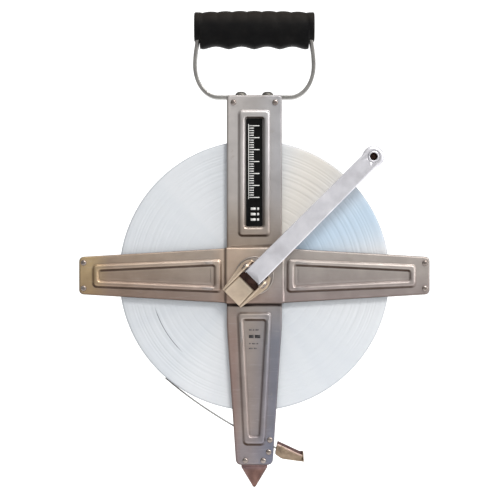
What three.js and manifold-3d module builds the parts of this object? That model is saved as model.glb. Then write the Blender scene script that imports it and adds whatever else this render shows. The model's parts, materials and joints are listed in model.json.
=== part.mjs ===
// Surveyor's open-frame tape reel: a long steel tape wound edge-on between two crossed pairs of
// pressed plates, with a bail handle above, a ground spike below and a crank that folds flat.
//
// Every piece is drawn as the reel is seen from the front: x to the right, y up, z out of the front
// face, with the axle along z through x = y = 0. The exported group stands that drawing up in the
// part's frame: millimetres, +Z up, the front towards -Y, the origin in the middle of the hand grip.

import * as THREE from 'three';
import { ConvexGeometry } from 'three/addons/geometries/ConvexGeometry.js';
import { ParametricGeometry } from 'three/addons/geometries/ParametricGeometry.js';
import { mergeVertices } from 'three/addons/utils/BufferGeometryUtils.js';
import Module from 'manifold-3d';

const wasm = await Module();
wasm.setup();

// ---------------------------------------------------------------- driving dimensions

// Tape: 300 ft of half-inch steel tape, nylon coated.
const TAPE_LENGTH = 91440;
const TAPE_WIDTH = 12.7;
const TAPE_THICKNESS = 0.49;
const CORE_RADIUS = 36;
const PACK_RADIUS = Math.sqrt(CORE_RADIUS ** 2 + (TAPE_LENGTH * TAPE_THICKNESS) / Math.PI);

// Gap left between two pieces that touch on the real reel.
const GAP = 0.3;

// Frame plates: sheet thickness, distance from the reel's mid-plane to a plate's inner face.
const SHEET = 1.2;
const BAY_HALF = 10;
const FACE = BAY_HALF + SHEET;
const FOLD_RADIUS = 1;
const FOLD_LIP = 8.2; // the folded edge reaches this near the mid-plane
const UPRIGHT = { top: 166.5, bottom: 174.5, half: 25.4, footHalf: 16.9, taperFrom: 46 };
const CROSSBAR = { reach: 161.5, rootHalf: 25.3, tipHalf: 17.2, lapHalf: 25.8 };
const LAP_FACE = FACE + GAP + SHEET; // the crossbar's middle, raised over the upright
const LAP_CLEAR = 0.7; // how far the raised part reaches past the upright's edges
const LAP_SLOPE = 1.9;
const LAP_JOIN = 1;

// Beads pressed round each arm: [start, end, half-width at start, half-width at end].
const BEAD_HEIGHT = 2;
const BEAD_SLOPE = 1.6;
const BEADS = {
  right: { turn: 0, outer: [30.1, 148.8, 15.2, 10.3], inner: [37, 143, 9.4, 4.4] },
  left: { turn: Math.PI, outer: [30.1, 148.8, 15.2, 10.3], inner: [37, 143, 9.4, 4.4] },
  top: { turn: Math.PI / 2, outer: [36.5, 152.7, 14.5, 14.5], inner: [45, 145.3, 8.2, 8.2] },
  bottom: { turn: -Math.PI / 2, outer: [33.7, 155.8, 15.8, 9.9], inner: [41, 147.4, 10, 4.1] },
};
const BEAD_OUTER_CORNER = 4.2;
const BEAD_INNER_CORNER = 1.8;

// Rivets and posts: [x, y] of each.
const SHANK = 1.7;
const SHANK_HOLE = 2;
const POST_SHOULDER = 2.4;
const HEAD = { radius: 2.7, height: 1.7 };
const POSTS = { x: 157.2, y: 11.7 };
const TOP_RIVETS = { x: 19.2, y: 159.6 };
const SPIKE_RIVETS = { x: 8.2, y: -170.3 };
const GUIDE_PINS = { upper: [14.3, -151.4], lower: [13.2, -162.6] };
const GUIDE_PIN_RADIUS = 2.2;
const ROLLER = { radius: 4, bore: 2.8, half: 7.9 };

// Handle: a flat-bar bail bolted down on a block between the plates.
const STRAP = {
  thickness: 3.5,
  depth: 16,
  foot: 164.65,
  top: 226.5,
  half: 54.85,
  neck: 53.1,
  cornerX: 33,
  cornerY: 194.15,
  bend: 14,
};
const BLOCK = { half: 23.2, bottom: 150.5, top: 162.6 };
const BOLT = { x: 12.3, shank: 2.4, hole: 2.8, head: 5.3, headHeight: 3.4 };
const GRIP = {
  middle: 227.2,
  half: 55.6,
  footHalf: 50.2,
  top: 243.6,
  arch: 1.4,
  ledge: 216,
  bottom: 209.4,
  depth: 30,
  edge: 1.5,
  squareness: 0.85,
};
const FINGERS = { count: 4, pitch: 23.6, depth: 2.4 };

// Ground spike: its tang between the plates and its point below them.
const SPIKE = {
  half: 12,
  thick: 15.8,
  corner: 3,
  shoulder: -176,
  tip: -195.7,
  tipHalf: [0.9, 0.7],
  tang: -158,
  tangHalf: 4,
  tangRight: -167.4, // lower on the right, clear of the guide rollers
};

// Axle line, measured along z from the reel's mid-plane.
const AXLE = { radius: 6, hole: 6.3, front: 17.5, rear: -14, head: 7.8, headHeight: 1.2 };
const AXLE_BOLT = { shank: 3, hole: 3.3, length: 10.5, depth: 13, flange: 9.5, flangeHeight: 1.2 };
const HEX = { radius: 7.5, height: 4 };
const BUSHING = { radius: 8.6, hole: 8.9, flange: 11.5, inner: 8.3 };
const DRUM = { half: 6.5, rim: 3, web: 1.6, boss: 12, bossHalf: 7.8 };
const DRUM_PIN = { radius: 1.5, hole: 1.8, length: 22, z: 4.7 };
const ANCHOR = { shank: 1.2, hole: 1.5, head: 2.1, headHeight: 1.4, z: 4.1 };
const WASHER = { radius: 13, from: 13.2, to: 14, rearTo: 13.9 };
const HUB_DISC = { radius: 17.8, from: 14.2, to: 15.6 };

// Crank, drawn along its own u axis, which leans 45 degrees to the upper right.
const CRANK_LEAN = Math.PI / 4;
const PIVOT_Z = 25;
const CRANK = { reach: 154, tail: -2.7, rootHalf: 8.9, tipHalf: 8.1, tip: 8.6, sheet: 1.5 };
const CRANK_FACE = 30;
const CRANK_LIP = 24; // how near the plates the arm's edges reach along it
const CHEEK = { edge: 20.8, tailEdge: 22.8, straightTo: 8, meetsLip: 22 };
const KNOB_CLEAR = { from: 16, to: 13 }; // the edges end this far short of the knob's line
const BRACKET = { from: -29.6, to: 9, wall: 10.2, half: 12, base: 15.8, sheet: 1.5, ear: 5 };
// Half of the bracket base's outline as [along, across]: it flares beside the pivot's ears.
const BRACKET_FLARE = [[-29.6, 12], [-6, 15.6], [0, 16.4], [4, 15.4], [9, 12]];
const BRACKET_WALL = { rear: 18.6, front: 21.5, frontAt: -11.5 };
const PAD = { from: -29.6, to: -9.9, half: 9.6, top: 19.7 };
const PIVOT = { radius: 2.4, hole: 2.7, head: 4, headHeight: 1.7, washer: 5 };
const KNOB = { top: 27.3, bottom: 0.6, bore: 4.5, recess: 6.2, recessDepth: 2.6, washer: 7 };
const SPINDLE = { radius: 4.2, flange: 5.2, flangeHeight: 0.9, cup: 3.4, cupDepth: 6, foot: 5.7 };

// Tape's last stretch and its end hook.
const LEAVES_PACK_AT = THREE.MathUtils.degToRad(229);
const LEADER_SLOPE = THREE.MathUtils.degToRad(-26.5);
const LEADER_THICKNESS = 0.5;
const BETWEEN_ROLLERS = new THREE.Vector2(13.75, -156.6);
const LEADER_CLEAR = 0.6; // the leader starts this far outside the pack
const LEADER_PULL = { pack: 38, rollers: 40 }; // how far its curve follows each end's direction
const EYE = { reach: 12, radius: 2.15, wrap: THREE.MathUtils.degToRad(290) };
const HOOK = { half: 7.65, sheet: 1, pin: 1.5, hole: 1.8, head: 2.6, headHeight: 0.8 };
// The hook's folded side and the space inside it, as it hangs from the leader.
const HOOK_SIDE = [
  [19.2, -164.8, 0.6],
  [25.2, -169, 1.5],
  [46, -172, 0.8],
  [45.4, -162.8, 0.6],
  [42.3, -163.2, 0.6],
  [21.5, -153.6, 0.8],
];
const HOOK_INSIDE = [[10, -157.1], [25.5, -168], [44.9, -170.8], [44.4, -150], [10, -150]];

// ---------------------------------------------------------------- shape helpers

const DRILL_LENGTH = 80;

// A closed three.js geometry as a manifold-3d solid, for joining and cutting.
function solidOf(geometry) {
  const bare = geometry.clone();
  bare.deleteAttribute('normal');
  bare.deleteAttribute('uv');
  const merged = mergeVertices(bare, 1e-3);
  return new wasm.Manifold(new wasm.Mesh({
    numProp: 3,
    vertProperties: merged.attributes.position.array,
    triVerts: new Uint32Array(merged.index.array),
  }));
}

// A manifold-3d solid as a three.js geometry.
function geometryOf(solid) {
  const mesh = solid.getMesh();
  const geometry = new THREE.BufferGeometry();
  geometry.setAttribute('position', new THREE.BufferAttribute(mesh.vertProperties, 3));
  geometry.setIndex(new THREE.BufferAttribute(mesh.triVerts, 1));
  geometry.computeVertexNormals();
  return geometry;
}

// Joins the first solid with the `added` ones, then cuts the `removed` ones away.
function carved(base, added, removed) {
  const whole = added.reduce((sum, piece) => sum.add(piece), base);
  return removed.reduce((rest, piece) => rest.subtract(piece), whole);
}

// An outline through counter-clockwise corners [x, y, radius].
function outline(corners) {
  const shape = new THREE.Shape();
  corners.forEach(([x, y, radius = 0], i) => {
    const corner = new THREE.Vector2(x, y);
    const towards = ([otherX, otherY]) => new THREE.Vector2(otherX, otherY)
      .sub(corner)
      .setLength(radius)
      .add(corner);
    const start = towards(corners.at(i - 1));
    const end = towards(corners[(i + 1) % corners.length]);
    if (i === 0) shape.moveTo(start.x, start.y);
    else shape.lineTo(start.x, start.y);
    if (radius > 0) shape.quadraticCurveTo(x, y, end.x, end.y);
  });
  shape.closePath();
  return shape;
}

// The same corners moved inwards by `distance`, or outwards where it is negative.
function inset(corners, distance) {
  return corners.map(([x, y, radius = 0], i) => {
    const [beforeX, beforeY] = corners.at(i - 1);
    const [afterX, afterY] = corners[(i + 1) % corners.length];
    const arriving = new THREE.Vector2(x - beforeX, y - beforeY).normalize();
    const leaving = new THREE.Vector2(afterX - x, afterY - y).normalize();
    const step = distance / (1 + arriving.dot(leaving));
    const rounded = radius > 0 ? Math.max(radius - distance, 0.4) : 0;
    return [x - (arriving.y + leaving.y) * step, y + (arriving.x + leaving.x) * step, rounded];
  });
}

// A shape extruded from z = from to z = to.
function slab(shape, from, to, curveSegments = 3) {
  const options = { depth: to - from, bevelEnabled: false, curveSegments };
  return new THREE.ExtrudeGeometry(shape, options).translate(0, 0, from);
}

// An upright form whose top edge is bevelled: full size at the bottom, `bevel.size` smaller at `top`.
function pressedForm(shape, top, bevel, depth) {
  const options = {
    depth,
    bevelThickness: bevel.height,
    bevelSize: bevel.size,
    bevelSegments: 1,
    curveSegments: 3,
  };
  return solidOf(new THREE.ExtrudeGeometry(shape, options).translate(0, 0, top - depth - bevel.height));
}

function rectangle(x0, y0, x1, y1) {
  return outline([[x0, y0], [x1, y0], [x1, y1], [x0, y1]]);
}

// A profile [radius, z] turned about the z axis.
function turned(profile, segments = 24) {
  const points = profile.map(([radius, along]) => new THREE.Vector2(radius, along));
  if (THREE.ShapeUtils.area(points) < 0) points.reverse();
  return new THREE.LatheGeometry(points, segments).rotateX(Math.PI / 2);
}

// A ring between two radii and two heights along z.
function ring(inner, outer, from, to, segments = 24) {
  return turned([[inner, from], [outer, from], [outer, to], [inner, to], [inner, from]], segments);
}

// A profile for z >= 0 completed by its mirror image below.
function mirrored(profile) {
  return [...profile, ...profile.map(([radius, along]) => [radius, -along]).reverse()];
}

// A round drill along y, long enough to pass through anything it is set across.
function upDrill(radius, segments = 16) {
  return new THREE.CylinderGeometry(radius, radius, DRILL_LENGTH, segments);
}

// A round drill along z.
function drill(x, y, radius, segments = 12) {
  return solidOf(upDrill(radius, segments).rotateX(Math.PI / 2).translate(x, y, 0));
}

// Points of a curve moved sideways, to the left of its direction.
function beside(points, distance, closed = false) {
  const count = points.length;
  return points.map((point, i) => {
    const before = closed ? points.at(i - 1) : points[Math.max(i - 1, 0)];
    const after = closed ? points[(i + 1) % count] : points[Math.min(i + 1, count - 1)];
    const along = after.clone().sub(before).normalize();
    return new THREE.Vector2(point.x - along.y * distance, point.y + along.x * distance);
  });
}

// ---------------------------------------------------------------- finishes

const FINISHES = {
  plate: { color: 0xa99d90, roughness: 0.38, metalness: 0.9 },
  bright: { color: 0xcfcdd2, roughness: 0.35, metalness: 0.9 },
  zinc: { color: 0xb9b4ac, roughness: 0.4, metalness: 0.9 },
  tape: { color: 0xdfe2e6, roughness: 0.45, metalness: 0.3 },
  blade: { color: 0x6b6a64, roughness: 0.4, metalness: 0.8 },
  bronze: { color: 0xa9824f, roughness: 0.4, metalness: 0.9 },
  casting: { color: 0xb4b4b2, roughness: 0.5, metalness: 0.8 },
  tan: { color: 0x9a8468, roughness: 0.45, metalness: 0.7 },
  rust: { color: 0x6e4437, roughness: 0.5, metalness: 0.5 },
  black: { color: 0x151515, roughness: 0.6, metalness: 0 },
  nylon: { color: 0xd9d4c6, roughness: 0.6, metalness: 0 },
};

function piece(name, geometry, finish) {
  const mesh = new THREE.Mesh(geometry, new THREE.MeshStandardMaterial(FINISHES[finish]));
  mesh.name = name;
  return mesh;
}

// ---------------------------------------------------------------- frame plates

// Four corners of a tapering panel that lies along +x and is then turned round the axle.
function armCorners([start, end, startHalf, endHalf], corner, turn) {
  const corners = [[start, -startHalf], [end, -endHalf], [end, endHalf], [start, startHalf]];
  return corners.map(([x, y]) => [
    x * Math.cos(turn) - y * Math.sin(turn),
    x * Math.sin(turn) + y * Math.cos(turn),
    corner,
  ]);
}

// A bead as the solid to add on the plate's face; the same form lowered by the sheet hollows it.
function beadForm({ turn, outer, inner }, lowered) {
  const crest = outline(inset(armCorners(outer, BEAD_OUTER_CORNER, turn), BEAD_SLOPE));
  const panel = inset(armCorners(inner, BEAD_INNER_CORNER, turn), -BEAD_SLOPE);
  crest.holes.push(outline(panel));
  const bevel = { height: BEAD_HEIGHT, size: BEAD_SLOPE };
  return pressedForm(crest, FACE + BEAD_HEIGHT - lowered, bevel, SHEET);
}

// Sheet with its edges folded back towards the reel's mid-plane.
function foldedSheet(corners) {
  const bevel = { height: FOLD_RADIUS, size: FOLD_RADIUS };
  const outside = pressedForm(outline(inset(corners, FOLD_RADIUS)), FACE, bevel, 4);
  const inside = pressedForm(outline(inset(corners, FOLD_RADIUS + SHEET)), BAY_HALF, bevel, 8);
  const behind = solidOf(slab(rectangle(-200, -200, 200, 200), -20, FOLD_LIP));
  return carved(outside, [], [inside, behind]);
}

// Presses beads into a sheet and drills it.
function pressed(sheet, beads, holes) {
  const raised = beads.map((bead) => beadForm(bead, 0));
  const hollows = beads.map((bead) => beadForm(bead, SHEET));
  return geometryOf(carved(sheet, raised, [...hollows, ...holes]));
}

// Both uprights are the same pressing; `side` is 1 at the front and -1 at the back, where the plate
// is turned round, so its guide-pin holes are drilled on its other side.
function upright(side) {
  const { top, bottom, half, footHalf, taperFrom } = UPRIGHT;
  const sheet = foldedSheet([
    [-footHalf, -bottom, 5.5],
    [footHalf, -bottom, 5.5],
    [half, -taperFrom],
    [half, top, 3],
    [-half, top, 3],
    [-half, -taperFrom],
  ]);
  const holes = [-1, 1].flatMap((end) => [
    drill(end * TOP_RIVETS.x, TOP_RIVETS.y, SHANK_HOLE),
    drill(end * SPIKE_RIVETS.x, SPIKE_RIVETS.y, SHANK_HOLE),
  ]);
  const pins = Object.values(GUIDE_PINS).map(([x, y]) => drill(side * x, y, SHANK_HOLE));
  return pressed(sheet, [BEADS.top, BEADS.bottom], [...holes, ...pins, drill(0, 0, BUSHING.hole, 24)]);
}

// The crossbar's middle is raised over the upright, so its two arms lie level with it.
function crossbar() {
  const { reach, rootHalf, tipHalf, lapHalf } = CROSSBAR;
  const sheet = foldedSheet([
    [-reach, -tipHalf, 4.6],
    [-UPRIGHT.half, -rootHalf],
    [UPRIGHT.half, -rootHalf],
    [reach, -tipHalf, 4.6],
    [reach, tipHalf, 4.6],
    [UPRIGHT.half, rootHalf],
    [-UPRIGHT.half, rootHalf],
    [-reach, tipHalf, 4.6],
  ]);
  const lapEnd = UPRIGHT.half + LAP_CLEAR;
  const foot = lapEnd + LAP_SLOPE;
  const join = foot + LAP_JOIN;
  const cut = foot + LAP_JOIN / 2;
  const middle = solidOf(slab(rectangle(-cut, -reach, cut, reach), -LAP_FACE, LAP_FACE));
  const lapProfile = outline([
    [-join, BAY_HALF],
    [-foot, BAY_HALF],
    [-lapEnd, LAP_FACE - SHEET],
    [lapEnd, LAP_FACE - SHEET],
    [foot, BAY_HALF],
    [join, BAY_HALF],
    [join, FACE],
    [foot, FACE],
    [lapEnd, LAP_FACE],
    [-lapEnd, LAP_FACE],
    [-foot, FACE],
    [-join, FACE],
  ]);
  const lap = solidOf(slab(lapProfile, -lapHalf, lapHalf).rotateX(Math.PI / 2));
  const posts = [-1, 1].flatMap((end) => [-1, 1].map((level) => (
    drill(end * POSTS.x, level * POSTS.y, SHANK_HOLE)
  )));
  const holes = [...posts, drill(0, 0, BUSHING.hole, 24)];
  return pressed(carved(sheet, [], [middle]).add(lap), [BEADS.left, BEADS.right], holes);
}

function framePlates() {
  const rear = new THREE.Group();
  rear.rotation.y = Math.PI;
  rear.add(
    piece('rear_upright', upright(-1), 'plate'),
    piece('rear_crossbar', crossbar(), 'plate'),
  );
  return [
    piece('front_upright', upright(1), 'plate'),
    piece('front_crossbar', crossbar(), 'plate'),
    rear,
  ];
}

// ---------------------------------------------------------------- posts, rivets and rollers

// A rivet through both plates with a domed head on each; its middle is `shoulder` thick.
function rivet(shoulder) {
  const seat = FACE + GAP / 2;
  const half = [
    [0, seat + HEAD.height],
    [HEAD.radius * 0.7, seat + HEAD.height * 0.7],
    [HEAD.radius, seat],
    [SHANK, seat],
  ];
  if (shoulder > SHANK) half.push([SHANK, BAY_HALF - GAP], [shoulder, BAY_HALF - GAP]);
  return turned(mirrored(half), 12);
}

function placed(mesh, x, y) {
  mesh.position.set(x, y, 0);
  return mesh;
}

function fasteners() {
  const sides = { left: -1, right: 1 };
  return Object.entries(sides).flatMap(([side, sign]) => [
    placed(piece(`post_${side}_upper`, rivet(POST_SHOULDER), 'zinc'), sign * POSTS.x, POSTS.y),
    placed(piece(`post_${side}_lower`, rivet(POST_SHOULDER), 'zinc'), sign * POSTS.x, -POSTS.y),
    placed(piece(`rivet_top_${side}`, rivet(SHANK), 'zinc'), sign * TOP_RIVETS.x, TOP_RIVETS.y),
    placed(piece(`rivet_spike_${side}`, rivet(SHANK), 'zinc'), sign * SPIKE_RIVETS.x, SPIKE_RIVETS.y),
  ]);
}

function tapeGuides() {
  const { radius, bore, half } = ROLLER;
  return Object.entries(GUIDE_PINS).flatMap(([level, [x, y]]) => [
    placed(piece(`guide_pin_${level}`, rivet(GUIDE_PIN_RADIUS), 'zinc'), x, y),
    placed(piece(`guide_roller_${level}`, ring(bore, radius, -half, half, 16), 'nylon'), x, y),
  ]);
}

// ---------------------------------------------------------------- handle

function handleBlock() {
  const { half, bottom, top } = BLOCK;
  const deep = BAY_HALF - GAP;
  const block = solidOf(slab(rectangle(-half, bottom, half, top), -deep, deep));
  const holes = [-1, 1].flatMap((side) => [
    drill(side * TOP_RIVETS.x, TOP_RIVETS.y, SHANK_HOLE),
    solidOf(upDrill(BOLT.hole).translate(side * BOLT.x, top, 0)),
  ]);
  return geometryOf(carved(block, [], holes));
}

// The bail's centre line, once round: a flat foot, two elliptical lower corners, sides that close in
// a little below the grip, and a top run inside the grip.
function strapLine() {
  const { foot, top, half, neck, cornerX, cornerY, bend } = STRAP;
  const path = new THREE.Path();
  path.moveTo(cornerX, foot);
  path.absellipse(cornerX, cornerY, half - cornerX, cornerY - foot, -Math.PI / 2, 0, false);
  path.quadraticCurveTo(half, (cornerY + top - bend) / 2, neck, top - bend);
  path.absellipse(neck - bend, top - bend, bend, bend, 0, Math.PI / 2, false);
  const right = path.getPoints(6);
  const left = right.map((point) => new THREE.Vector2(-point.x, point.y)).reverse();
  return [...right, ...left];
}

// The bail as a closed band, `extra` thicker and deeper all round.
function strapBand(extra) {
  const half = STRAP.thickness / 2 + extra;
  const line = strapLine();
  const shape = new THREE.Shape(beside(line, -half, true));
  shape.holes.push(new THREE.Path(beside(line, half, true)));
  return slab(shape, -STRAP.depth / 2 - extra, STRAP.depth / 2 + extra);
}

function handleStrap() {
  const footOnly = STRAP.foot - DRILL_LENGTH / 2 + 2 * STRAP.thickness;
  const holes = [-1, 1].map((side) => (
    solidOf(upDrill(BOLT.hole).translate(side * BOLT.x, footOnly, 0))
  ));
  return geometryOf(carved(solidOf(strapBand(0)), [], holes));
}

function handleBolt() {
  const seat = STRAP.foot + STRAP.thickness / 2 + GAP;
  const profile = [
    [0, BLOCK.bottom + 1],
    [BOLT.shank, BLOCK.bottom + 1],
    [BOLT.shank, seat],
    [BOLT.head, seat],
    [BOLT.head * 0.92, seat + BOLT.headHeight * 0.45],
    [BOLT.head * 0.6, seat + BOLT.headHeight * 0.88],
    [0, seat + BOLT.headHeight],
  ];
  return turned(profile, 16).rotateX(-Math.PI / 2);
}

// Evenly spaced values, both ends included.
function spread(from, to, count) {
  return Array.from({ length: count + 1 }, (_, i) => from + ((to - from) * i) / count);
}

// The grip as one closed skin: a slightly squared oval section at each station along its length,
// with finger scallops below, a gentle arch above and end flanges that reach over the strap.
function gripSkin() {
  const { half, footHalf, ledge, top, bottom, depth, arch, edge, squareness } = GRIP;
  const flange = [footHalf + 0.4, half - edge, half, half];
  const stations = [
    ...flange.map((x) => -x).reverse(),
    ...spread(-footHalf, footHalf, FINGERS.count * 4),
    ...flange,
  ];
  const last = stations.length - 1;
  const scallop = (x) => (FINGERS.depth * (1 - Math.cos((2 * Math.PI * x) / FINGERS.pitch))) / 2;
  const squared = (value) => Math.sign(value) * Math.abs(value) ** squareness;
  const section = (around, along, target) => {
    const i = Math.round(along * last);
    const x = stations[i];
    const low = Math.abs(x) > footHalf ? ledge : bottom + scallop(x);
    const high = top + arch * (1 - (x / half) ** 2);
    const rounding = Math.abs(x) === half ? edge : 0;
    const closing = i === 0 || i === last ? 0 : 1;
    const angle = -2 * Math.PI * around;
    const deep = (depth / 2 - rounding) * closing * squared(Math.cos(angle));
    const tall = ((high - low) / 2 - rounding) * closing * squared(Math.sin(angle));
    target.set(x, (high + low) / 2 + tall, deep);
  };
  return new ParametricGeometry(section, 16, last);
}

function handleGrip() {
  return geometryOf(solidOf(gripSkin()).subtract(solidOf(strapBand(GAP))));
}

function handle() {
  const bolts = [['left', -1], ['right', 1]].map(([side, sign]) => {
    const bolt = piece(`handle_bolt_${side}`, handleBolt(), 'blade');
    bolt.position.x = sign * BOLT.x;
    return bolt;
  });
  return [
    piece('handle_block', handleBlock(), 'casting'),
    piece('handle_strap', handleStrap(), 'zinc'),
    piece('handle_grip', handleGrip(), 'black'),
    ...bolts,
  ];
}

// ---------------------------------------------------------------- spike and label

// The point tapers from an oblong with cut corners to a small blunt tip.
function groundSpike() {
  const { half, thick, corner, shoulder, tip, tipHalf, tang, tangHalf, tangRight } = SPIKE;
  const cutOblong = (x, z, cut, y) => [-1, 1].flatMap((sx) => [-1, 1].flatMap((sz) => [
    new THREE.Vector3(sx * x, y, sz * (z - cut)),
    new THREE.Vector3(sx * (x - cut), y, sz * z),
  ]));
  const point = solidOf(new ConvexGeometry([
    ...cutOblong(half, thick / 2, corner, shoulder),
    ...cutOblong(...tipHalf, tipHalf[1] / 2, tip),
  ]));
  const tangShape = outline([
    [-half, shoulder],
    [half, shoulder],
    [half, tangRight],
    [tangHalf, tangRight],
    [tangHalf, tang],
    [-half, tang],
  ]);
  const shank = solidOf(slab(tangShape, -thick / 2, thick / 2));
  const holes = [-1, 1].map((side) => drill(side * SPIKE_RIVETS.x, SPIKE_RIVETS.y, SHANK_HOLE));
  return geometryOf(carved(point, [shank], holes));
}

// A plain plate that fills the panel inside the top bead.
function labelPlate() {
  const [start, end, half] = BEADS.top.inner;
  const corners = [[-half, start, 1.6], [half, start, 1.6], [half, end, 1.6], [-half, end, 1.6]];
  return slab(outline(inset(corners, 0.5)), FACE + 0.2, FACE + 0.7);
}

// ---------------------------------------------------------------- axle, spool and tape

function axle() {
  const { radius, front, rear, head, headHeight } = AXLE;
  const { hole, depth } = AXLE_BOLT;
  const shaft = turned([
    [0, rear + depth],
    [hole, rear + depth],
    [hole, rear],
    [radius, rear],
    [radius, front],
    [head, front],
    [head, front + headHeight * 0.5],
    [head * 0.8, front + headHeight],
    [0, front + headHeight],
  ]);
  return geometryOf(solidOf(shaft).subtract(crossDrill(DRUM_PIN.hole)));
}

// A drill along x through the spool's boss.
function crossDrill(radius) {
  const length = 2 * DRUM.boss + 4;
  const cylinder = new THREE.CylinderGeometry(radius, radius, length, 12).rotateZ(Math.PI / 2);
  return solidOf(cylinder.translate(0, 0, DRUM_PIN.z));
}

function rearAxleBolt() {
  const { shank, length, flange, flangeHeight } = AXLE_BOLT;
  const seat = AXLE.rear - GAP;
  const body = turned([
    [0, seat - flangeHeight],
    [flange, seat - flangeHeight],
    [flange, seat],
    [shank, seat],
    [shank, seat + length],
    [0, seat + length],
  ], 18);
  const hex = new THREE.CylinderGeometry(HEX.radius, HEX.radius, HEX.height, 6).rotateX(Math.PI / 2);
  return geometryOf(solidOf(body).add(solidOf(hex.translate(0, 0, seat - 1 - HEX.height / 2))));
}

function bushing() {
  const { radius, flange, inner } = BUSHING;
  const shoulder = BAY_HALF - GAP;
  return turned([
    [AXLE.hole, inner],
    [flange, inner],
    [flange, shoulder],
    [radius, shoulder],
    [radius, LAP_FACE + GAP],
    [AXLE.hole, LAP_FACE + GAP],
    [AXLE.hole, inner],
  ]);
}

// Spool: a rim that the tape is wound on, a thin web and a boss on the axle.
function drumCore() {
  const outer = CORE_RADIUS - GAP;
  const upper = [
    [AXLE.hole, DRUM.bossHalf],
    [DRUM.boss, DRUM.bossHalf],
    [DRUM.boss, DRUM.web],
    [outer - DRUM.rim, DRUM.web],
    [outer - DRUM.rim, DRUM.half],
    [outer, DRUM.half],
  ];
  const section = mirrored(upper);
  const body = solidOf(turned([...section, section[0]], 30));
  const anchorHole = new THREE.CylinderGeometry(ANCHOR.hole, ANCHOR.hole, 4 * DRUM.rim, 12)
    .translate(0, outer, ANCHOR.z);
  return geometryOf(carved(body, [], [crossDrill(DRUM_PIN.hole), solidOf(anchorHole)]));
}

function tapeAnchorScrew() {
  const top = CORE_RADIUS - GAP - 0.1;
  const seat = CORE_RADIUS - GAP - DRUM.rim - GAP;
  const { shank, head, headHeight, z } = ANCHOR;
  return turned([
    [0, seat - headHeight],
    [head, seat - headHeight],
    [head, seat],
    [shank, seat],
    [shank, top],
    [0, top],
  ], 12).rotateX(-Math.PI / 2).translate(0, 0, z);
}

function reelPieces() {
  const { radius, length, z } = DRUM_PIN;
  const drumPin = new THREE.CylinderGeometry(radius, radius, length, 12)
    .rotateZ(Math.PI / 2)
    .translate(0, 0, z);
  const pack = ring(CORE_RADIUS, PACK_RADIUS, -TAPE_WIDTH / 2, TAPE_WIDTH / 2, 72);
  const washer = ring(AXLE.hole, WASHER.radius, WASHER.from, WASHER.to);
  const disc = ring(AXLE.hole, HUB_DISC.radius, HUB_DISC.from, HUB_DISC.to, 32);
  const rear = new THREE.Group();
  rear.rotation.y = Math.PI;
  const rearWasher = ring(AXLE.hole, WASHER.radius, WASHER.from, WASHER.rearTo);
  rear.add(
    piece('rear_bushing', bushing(), 'bronze'),
    piece('rear_thrust_washer', rearWasher, 'nylon'),
  );
  return [
    piece('front_bushing', bushing(), 'bronze'),
    piece('front_thrust_washer', washer, 'nylon'),
    rear,
    piece('axle', axle(), 'zinc'),
    piece('rear_axle_bolt', rearAxleBolt(), 'zinc'),
    piece('drum_core', drumCore(), 'casting'),
    piece('drum_pin', drumPin, 'zinc'),
    piece('tape_anchor_screw', tapeAnchorScrew(), 'zinc'),
    piece('tape_pack', pack, 'tape'),
    piece('hub_disc', disc, 'bright'),
  ];
}

// ---------------------------------------------------------------- crank

// A shape drawn as u, z and extruded across the crank from v = from to v = to.
function acrossCrank(shape, from, to) {
  return solidOf(slab(shape, from, to).rotateX(Math.PI / 2).translate(0, from + to, 0));
}

// A cylinder across the crank on the pivot's line.
function pivotDrill(radius) {
  return solidOf(upDrill(radius).translate(0, 0, PIVOT_Z));
}

function crankArm() {
  const { reach, tail, rootHalf, tipHalf, tip, sheet } = CRANK;
  const roundEnd = (radius, half) => {
    const start = Math.PI - Math.asin(half / radius);
    return spread(-start, start, 8).map((angle) => (
      new THREE.Vector2(reach + radius * Math.cos(angle), radius * Math.sin(angle))
    ));
  };
  const blank = (radius, end, root, half) => new THREE.Shape([
    new THREE.Vector2(end, root),
    new THREE.Vector2(end, -root),
    ...roundEnd(radius, half),
  ]);
  const whole = solidOf(slab(blank(tip, tail, rootHalf, tipHalf), CHEEK.edge, CRANK_FACE));
  const hollow = blank(tip - sheet, tail - rootHalf, rootHalf - sheet, tipHalf - sheet);
  const inside = solidOf(slab(hollow, 0, CRANK_FACE - sheet));
  // Everything below the folded edges: they are deep round the pivot and shallow along the arm, and
  // there are none where the knob turns.
  const beyond = reach + 2 * tip;
  const before = tail - tip;
  const clear = acrossCrank(outline([
    [before, 0],
    [beyond, 0],
    [beyond, CRANK_FACE - sheet],
    [reach - KNOB_CLEAR.to, CRANK_FACE - sheet],
    [reach - KNOB_CLEAR.from, CRANK_LIP],
    [CHEEK.meetsLip, CRANK_LIP],
    [CHEEK.straightTo, CHEEK.edge],
    [0, CHEEK.edge],
    [tail, CHEEK.tailEdge],
    [before, CHEEK.tailEdge],
  ]), -2 * rootHalf, 2 * rootHalf);
  const spindleHole = drill(reach, 0, KNOB.bore);
  return geometryOf(carved(whole, [], [inside, clear, spindleHole, pivotDrill(PIVOT.hole)]));
}

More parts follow.
